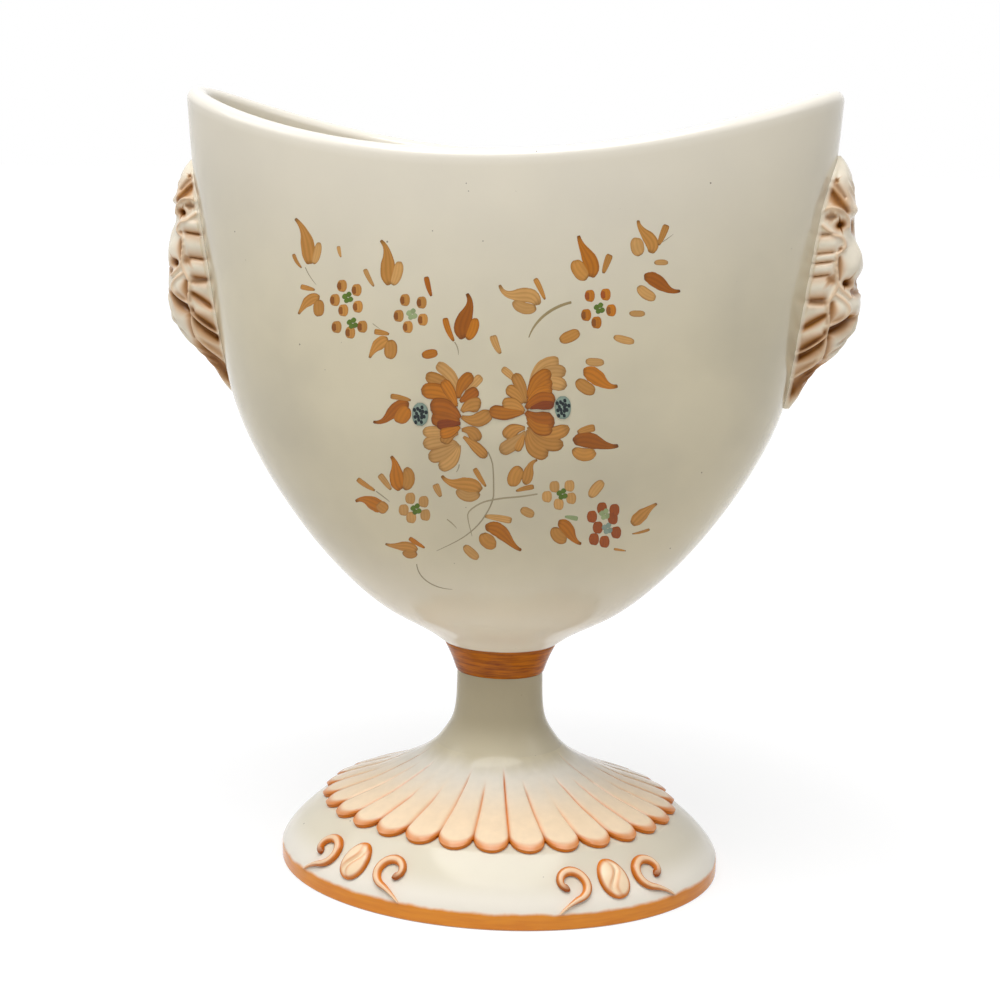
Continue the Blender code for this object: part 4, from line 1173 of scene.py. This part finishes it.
def brush_mark(s, corner, kind, paint, half_width, points, lift, seed):
    """One brush mark as a closed, flat pillow on the bowl, with its tints.

    The middle line runs through the points, the width follows the kind of mark, and the pigment
    lies thicker at the edges and ends, with a few bristle lines along the way.
    """
    long = THREAD_ROWS if kind == "stem" else MARK_ROWS
    path = through_points(points, long)
    heading = unit(np.gradient(path, axis=0))
    across = np.stack([-heading[:, 1], heading[:, 0]], -1)
    t = np.linspace(0, 1, long)
    width = half_width * smooth_line(MARKS[kind])(t)
    face = np.linspace(-1, 1, MARK_ACROSS)
    side = np.concatenate([face, [0.5, -0.5]])
    over = np.concatenate([0.4 - face ** 6, [-1.2, -1.2]])
    flat = path[:, None] + across[:, None] * (width[:, None] * side)[..., None]
    p, normal = seen_on_bowl(s, corner[0] + flat[..., 0] / PART_ZOOM,
                             corner[1] + flat[..., 1] / PART_ZOOM)
    ends = np.clip(np.minimum(t, 1 - t) / 0.03, 0, 1)[:, None]
    rings = p + normal * (lift + s.paint_lift * (over * ends - 0.8 * (1 - ends)))[..., None]
    body, edge, end = (np.array(tint(code)) for code in PAINTS[paint])
    body = body * (1 + 0.10 * math.sin(seed * 2.4))
    rim = np.abs(side) ** 7 * np.ones_like(t)[:, None]
    bristle = 0.5 + 0.5 * np.sin(side * 11.0 + seed * 1.9 + t[:, None] * 2.5)
    streak = 0.25 if kind in ("berry", "lobe") else 0.42
    tints = blend(body, edge, streak * bristle ** 2 + 0.95 * rim)
    tail = np.exp(-((1 - t) / 0.09) ** 2) * (0.95 if kind in ("leaf", "dash") else 0.45)
    head = np.exp(-(t / 0.07) ** 2) * (0.85 if kind in ("leaf", "dash", "lobe") else 0.35)
    tints = blend(tints, end, np.maximum(tail, head)[:, None] * np.ones_like(side))
    return rings, None, None, tints


class URN_OT_painting(Operator):
    """Painting: leaves, dashes, stems, small flowers and two blooms, mark by mark on the bowl"""
    bl_idname = "urn.painting"
    bl_label = "Painting"

    def execute(self, context):
        s = context.scene.urn_sizes
        # Orange, brown and green oxides that have sunk into the glaze and share its shine
        glaze = painted_glaze("underglaze_paint")
        left, right = BLOOMS
        for name, marks in (("painted_spray", self.spray(s)),
                            ("painted_flowers", self.flowers(s)),
                            ("painted_bloom_left", self.bloom(s, *left)),
                            ("painted_bloom_right", self.bloom(s, *right))):
            add_piece(name, marks, glaze, crease=80)
        return {"FINISHED"}

    def spray(self, s):
        """Marks of the spray, its lobes a little above the rest."""
        marks = []
        for corner, strokes in SPRAY:
            for kind, paint, width, *points in strokes:
                lift = LOBE_LIFT if kind == "lobe" else 0.0
                marks.append(brush_mark(s, corner, kind, paint, width, points, lift, len(marks)))
        return marks

    def flowers(self, s):
        """Round petals, most with a darker spot, about a middle of four blots."""
        marks = []
        for corner, eye, centre, paint, petals in FLOWERS:
            tall = 36 if paint == "pale" else 38
            for x, y in petals:
                seed = x * 0.37 + y
                petal = (x, y - tall, x + 2, y, x - 2, y + tall)
                marks.append(brush_mark(s, corner, "berry", paint, 34, petal, 0.0, seed))
                if paint == "pale":
                    continue
                reddish = paint == "red" or y < 600 and corner[0] == 490
                spot = (x - 6, y - 20, x - 15, y, x - 4, y + 22)
                marks.append(brush_mark(s, corner, "berry", "red" if reddish else "spot", 14,
                                        spot, SPOT_LIFT, seed))
            for dx, dy in ((-20, -12), (4, -24), (14, 6), (-8, 12)):
                x, y = eye[0] + dx, eye[1] + dy
                blot = (x - 10, y - 10, x, y, x + 10, y + 12)
                marks.append(brush_mark(s, corner, "berry", centre, 17, blot, SPOT_LIFT,
                                        eye[0] + dy))
        return marks

    def bloom(self, s, corner, eye, petals):
        """Petals piled one over the other, and a sea-green eye on top with dots in a spiral."""
        marks = []
        for i, (paint, width, *points) in enumerate(petals):
            marks.append(brush_mark(s, corner, "petal", paint, width, points, i * PILE_STEP, i))
        high = len(petals) * PILE_STEP
        x, y = eye
        marks.append(brush_mark(s, corner, "berry", "sea", 48, (x, y - 68, x + 2, y, x, y + 68),
                                high, 1))
        for i in range(EYE_DOTS):
            turn, reach = i * GOLDEN_TURN, 14 + 2.6 * i
            x, y = eye[0] + reach * math.cos(turn) * 0.8, eye[1] + reach * math.sin(turn) * 1.15
            dot = (x - 3, y - 12, x, y, x + 3, y + 12)
            marks.append(brush_mark(s, corner, "berry", "ink", 10, dot, high + SPOT_LIFT, i))
        return marks


# Soft lamps: name, place, width, power, and the height on the urn's axis that they look at
SOFTBOXES = (("key_softbox", (-0.05, -0.62, 1.95), 1.7, 39.0, 0.1),
             ("left_softbox", (-1.4, -0.3, 1.4), 1.0, 4.5, 0.14),
             ("right_softbox", (1.4, -0.4, 1.4), 1.0, 2.6, 0.14))
FLOOR_REACH = 40


class URN_OT_stage(Operator):
    """Stage: pale floor, soft studio lamps and the camera of the picture"""
    bl_idname = "urn.stage"
    bl_label = "Stage"

    def execute(self, context):
        scene, colours = context.scene, context.scene.urn_colours
        mesh = bpy.data.meshes.new("floor")
        corners = ((-1, -1), (1, -1), (1, 1), (-1, 1))
        mesh.from_pydata([(x * FLOOR_REACH, y * FLOOR_REACH, 0) for x, y in corners], [],
                         [(0, 1, 2, 3)])
        floor = bpy.data.objects.new("floor", mesh)
        scene.collection.objects.link(floor)
        mesh.materials.append(self.paper(colours))
        self.surroundings(scene, colours)
        for lamp in SOFTBOXES:
            self.softbox(scene, *lamp)
        lens = bpy.data.cameras.new("picture_camera")
        lens.lens, lens.sensor_width = CAMERA_LENS, SENSOR
        camera = bpy.data.objects.new("picture_camera", lens)
        scene.collection.objects.link(camera)
        camera.matrix_world = Matrix.Translation(CAMERA_PLACE) @ camera_frame().to_4x4()
        scene.camera = camera
        scene.view_settings.view_transform = "Standard"
        return {"FINISHED"}

    def paper(self, colours):
        """White paper sweep: shows as the background colour and keeps the urn's shadow.

        Its glow is full from 0.6 m out and falls to 0.76 under the urn, where the shadow lies.
        What the eye sees takes the shadow (shown); the urn is lit by a plain warm sheet.
        """
        material = bpy.data.materials.new("white_paper_sweep")
        material.use_nodes = True
        tree = material.node_tree
        tree.nodes.clear()
        seen = self.seen(tree)
        sheet = node(tree, "ShaderNodeBsdfDiffuse", {0: (0.74, 0.72, 0.68, 1.0)})
        shown = node(tree, "ShaderNodeBsdfDiffuse", {0: (0.3, 0.3, 0.3, 1.0)})
        place = node(tree, "ShaderNodeTexCoord").outputs["Object"]
        away = node(tree, "ShaderNodeVectorMath", {0: place}, operation="LENGTH").outputs["Value"]
        level = node(tree, "ShaderNodeMapRange", {0: away, 1: 0.15, 2: 0.6, 3: 0.76, 4: 1.0})
        glow = node(tree, "ShaderNodeEmission", {0: colours.background, 1: level})
        both = node(tree, "ShaderNodeAddShader", {0: shown, 1: glow})
        mix = node(tree, "ShaderNodeMixShader", {0: seen, 1: sheet, 2: both})
        node(tree, "ShaderNodeOutputMaterial", {0: mix})
        return material

    def surroundings(self, scene, colours):
        """Pale room: white where it is seen or mirrored, softer as light on the urn."""
        world = bpy.data.worlds.new("pale_room")
        world.use_nodes = True
        scene.world = world
        tree = world.node_tree
        tree.nodes.clear()
        seen = self.seen(tree)
        light = node(tree, "ShaderNodeBackground", {0: (0.97, 0.97, 1.0, 1.0), 1: 0.15})
        white = node(tree, "ShaderNodeBackground", {0: colours.background, 1: 1.0})
        mix = node(tree, "ShaderNodeMixShader", {0: seen, 1: light, 2: white})
        node(tree, "ShaderNodeOutputWorld", {0: mix})

    def seen(self, tree):
        """Node that gives 1 where the camera looks, straight, mirrored or through glass."""
        path = node(tree, "ShaderNodeLightPath")
        seen = path.outputs["Is Camera Ray"]
        for ray in ("Is Glossy Ray", "Is Transmission Ray"):
            seen = node(tree, "ShaderNodeMath", {0: seen, 1: path.outputs[ray]},
                        operation="MAXIMUM")
        return seen

    def softbox(self, scene, name, place, size, power, aim):
        """Round soft lamp that looks at a height on the urn's axis."""
        lamp = bpy.data.lights.new(name, "AREA")
        lamp.shape, lamp.size, lamp.energy = "DISK", size, power
        box = bpy.data.objects.new(name, lamp)
        scene.collection.objects.link(box)
        sight = Vector((0, 0, aim)) - Vector(place)
        box.rotation_euler = sight.to_track_quat("-Z", "Y").to_euler()
        box.location = place


class URN_PT_panel(Panel):
    """Lists the operators of the urn with its sizes and colours"""
    bl_idname = "URN_PT_panel"
    bl_label = "Urn vase"
    bl_space_type = "VIEW_3D"
    bl_region_type = "UI"
    bl_category = "Urn vase"

    def draw(self, context):
        layout = self.layout
        for operator in OPERATORS:
            layout.operator(operator.bl_idname)
        for group in (context.scene.urn_sizes, context.scene.urn_colours):
            box = layout.box()
            for key in type(group).__annotations__:
                box.prop(group, key)


OPERATORS = (URN_OT_bowl, URN_OT_painting, URN_OT_collar, URN_OT_pedestal, URN_OT_apron,
             URN_OT_masks, URN_OT_sprigs, URN_OT_stage)
CLASSES = (UrnSizes, UrnColours) + OPERATORS + (URN_PT_panel,)


def register():
    for item in CLASSES:
        bpy.utils.register_class(item)
    bpy.types.Scene.urn_sizes = PointerProperty(type=UrnSizes)
    bpy.types.Scene.urn_colours = PointerProperty(type=UrnColours)


def unregister():
    del bpy.types.Scene.urn_colours
    del bpy.types.Scene.urn_sizes
    for item in reversed(CLASSES):
        bpy.utils.unregister_class(item)


def main():
    """Build every piece in order."""
    register()
    for operator in OPERATORS:
        group, action = operator.bl_idname.split(".")
        getattr(getattr(bpy.ops, group), action)()


if __name__ == "__main__":
    main()
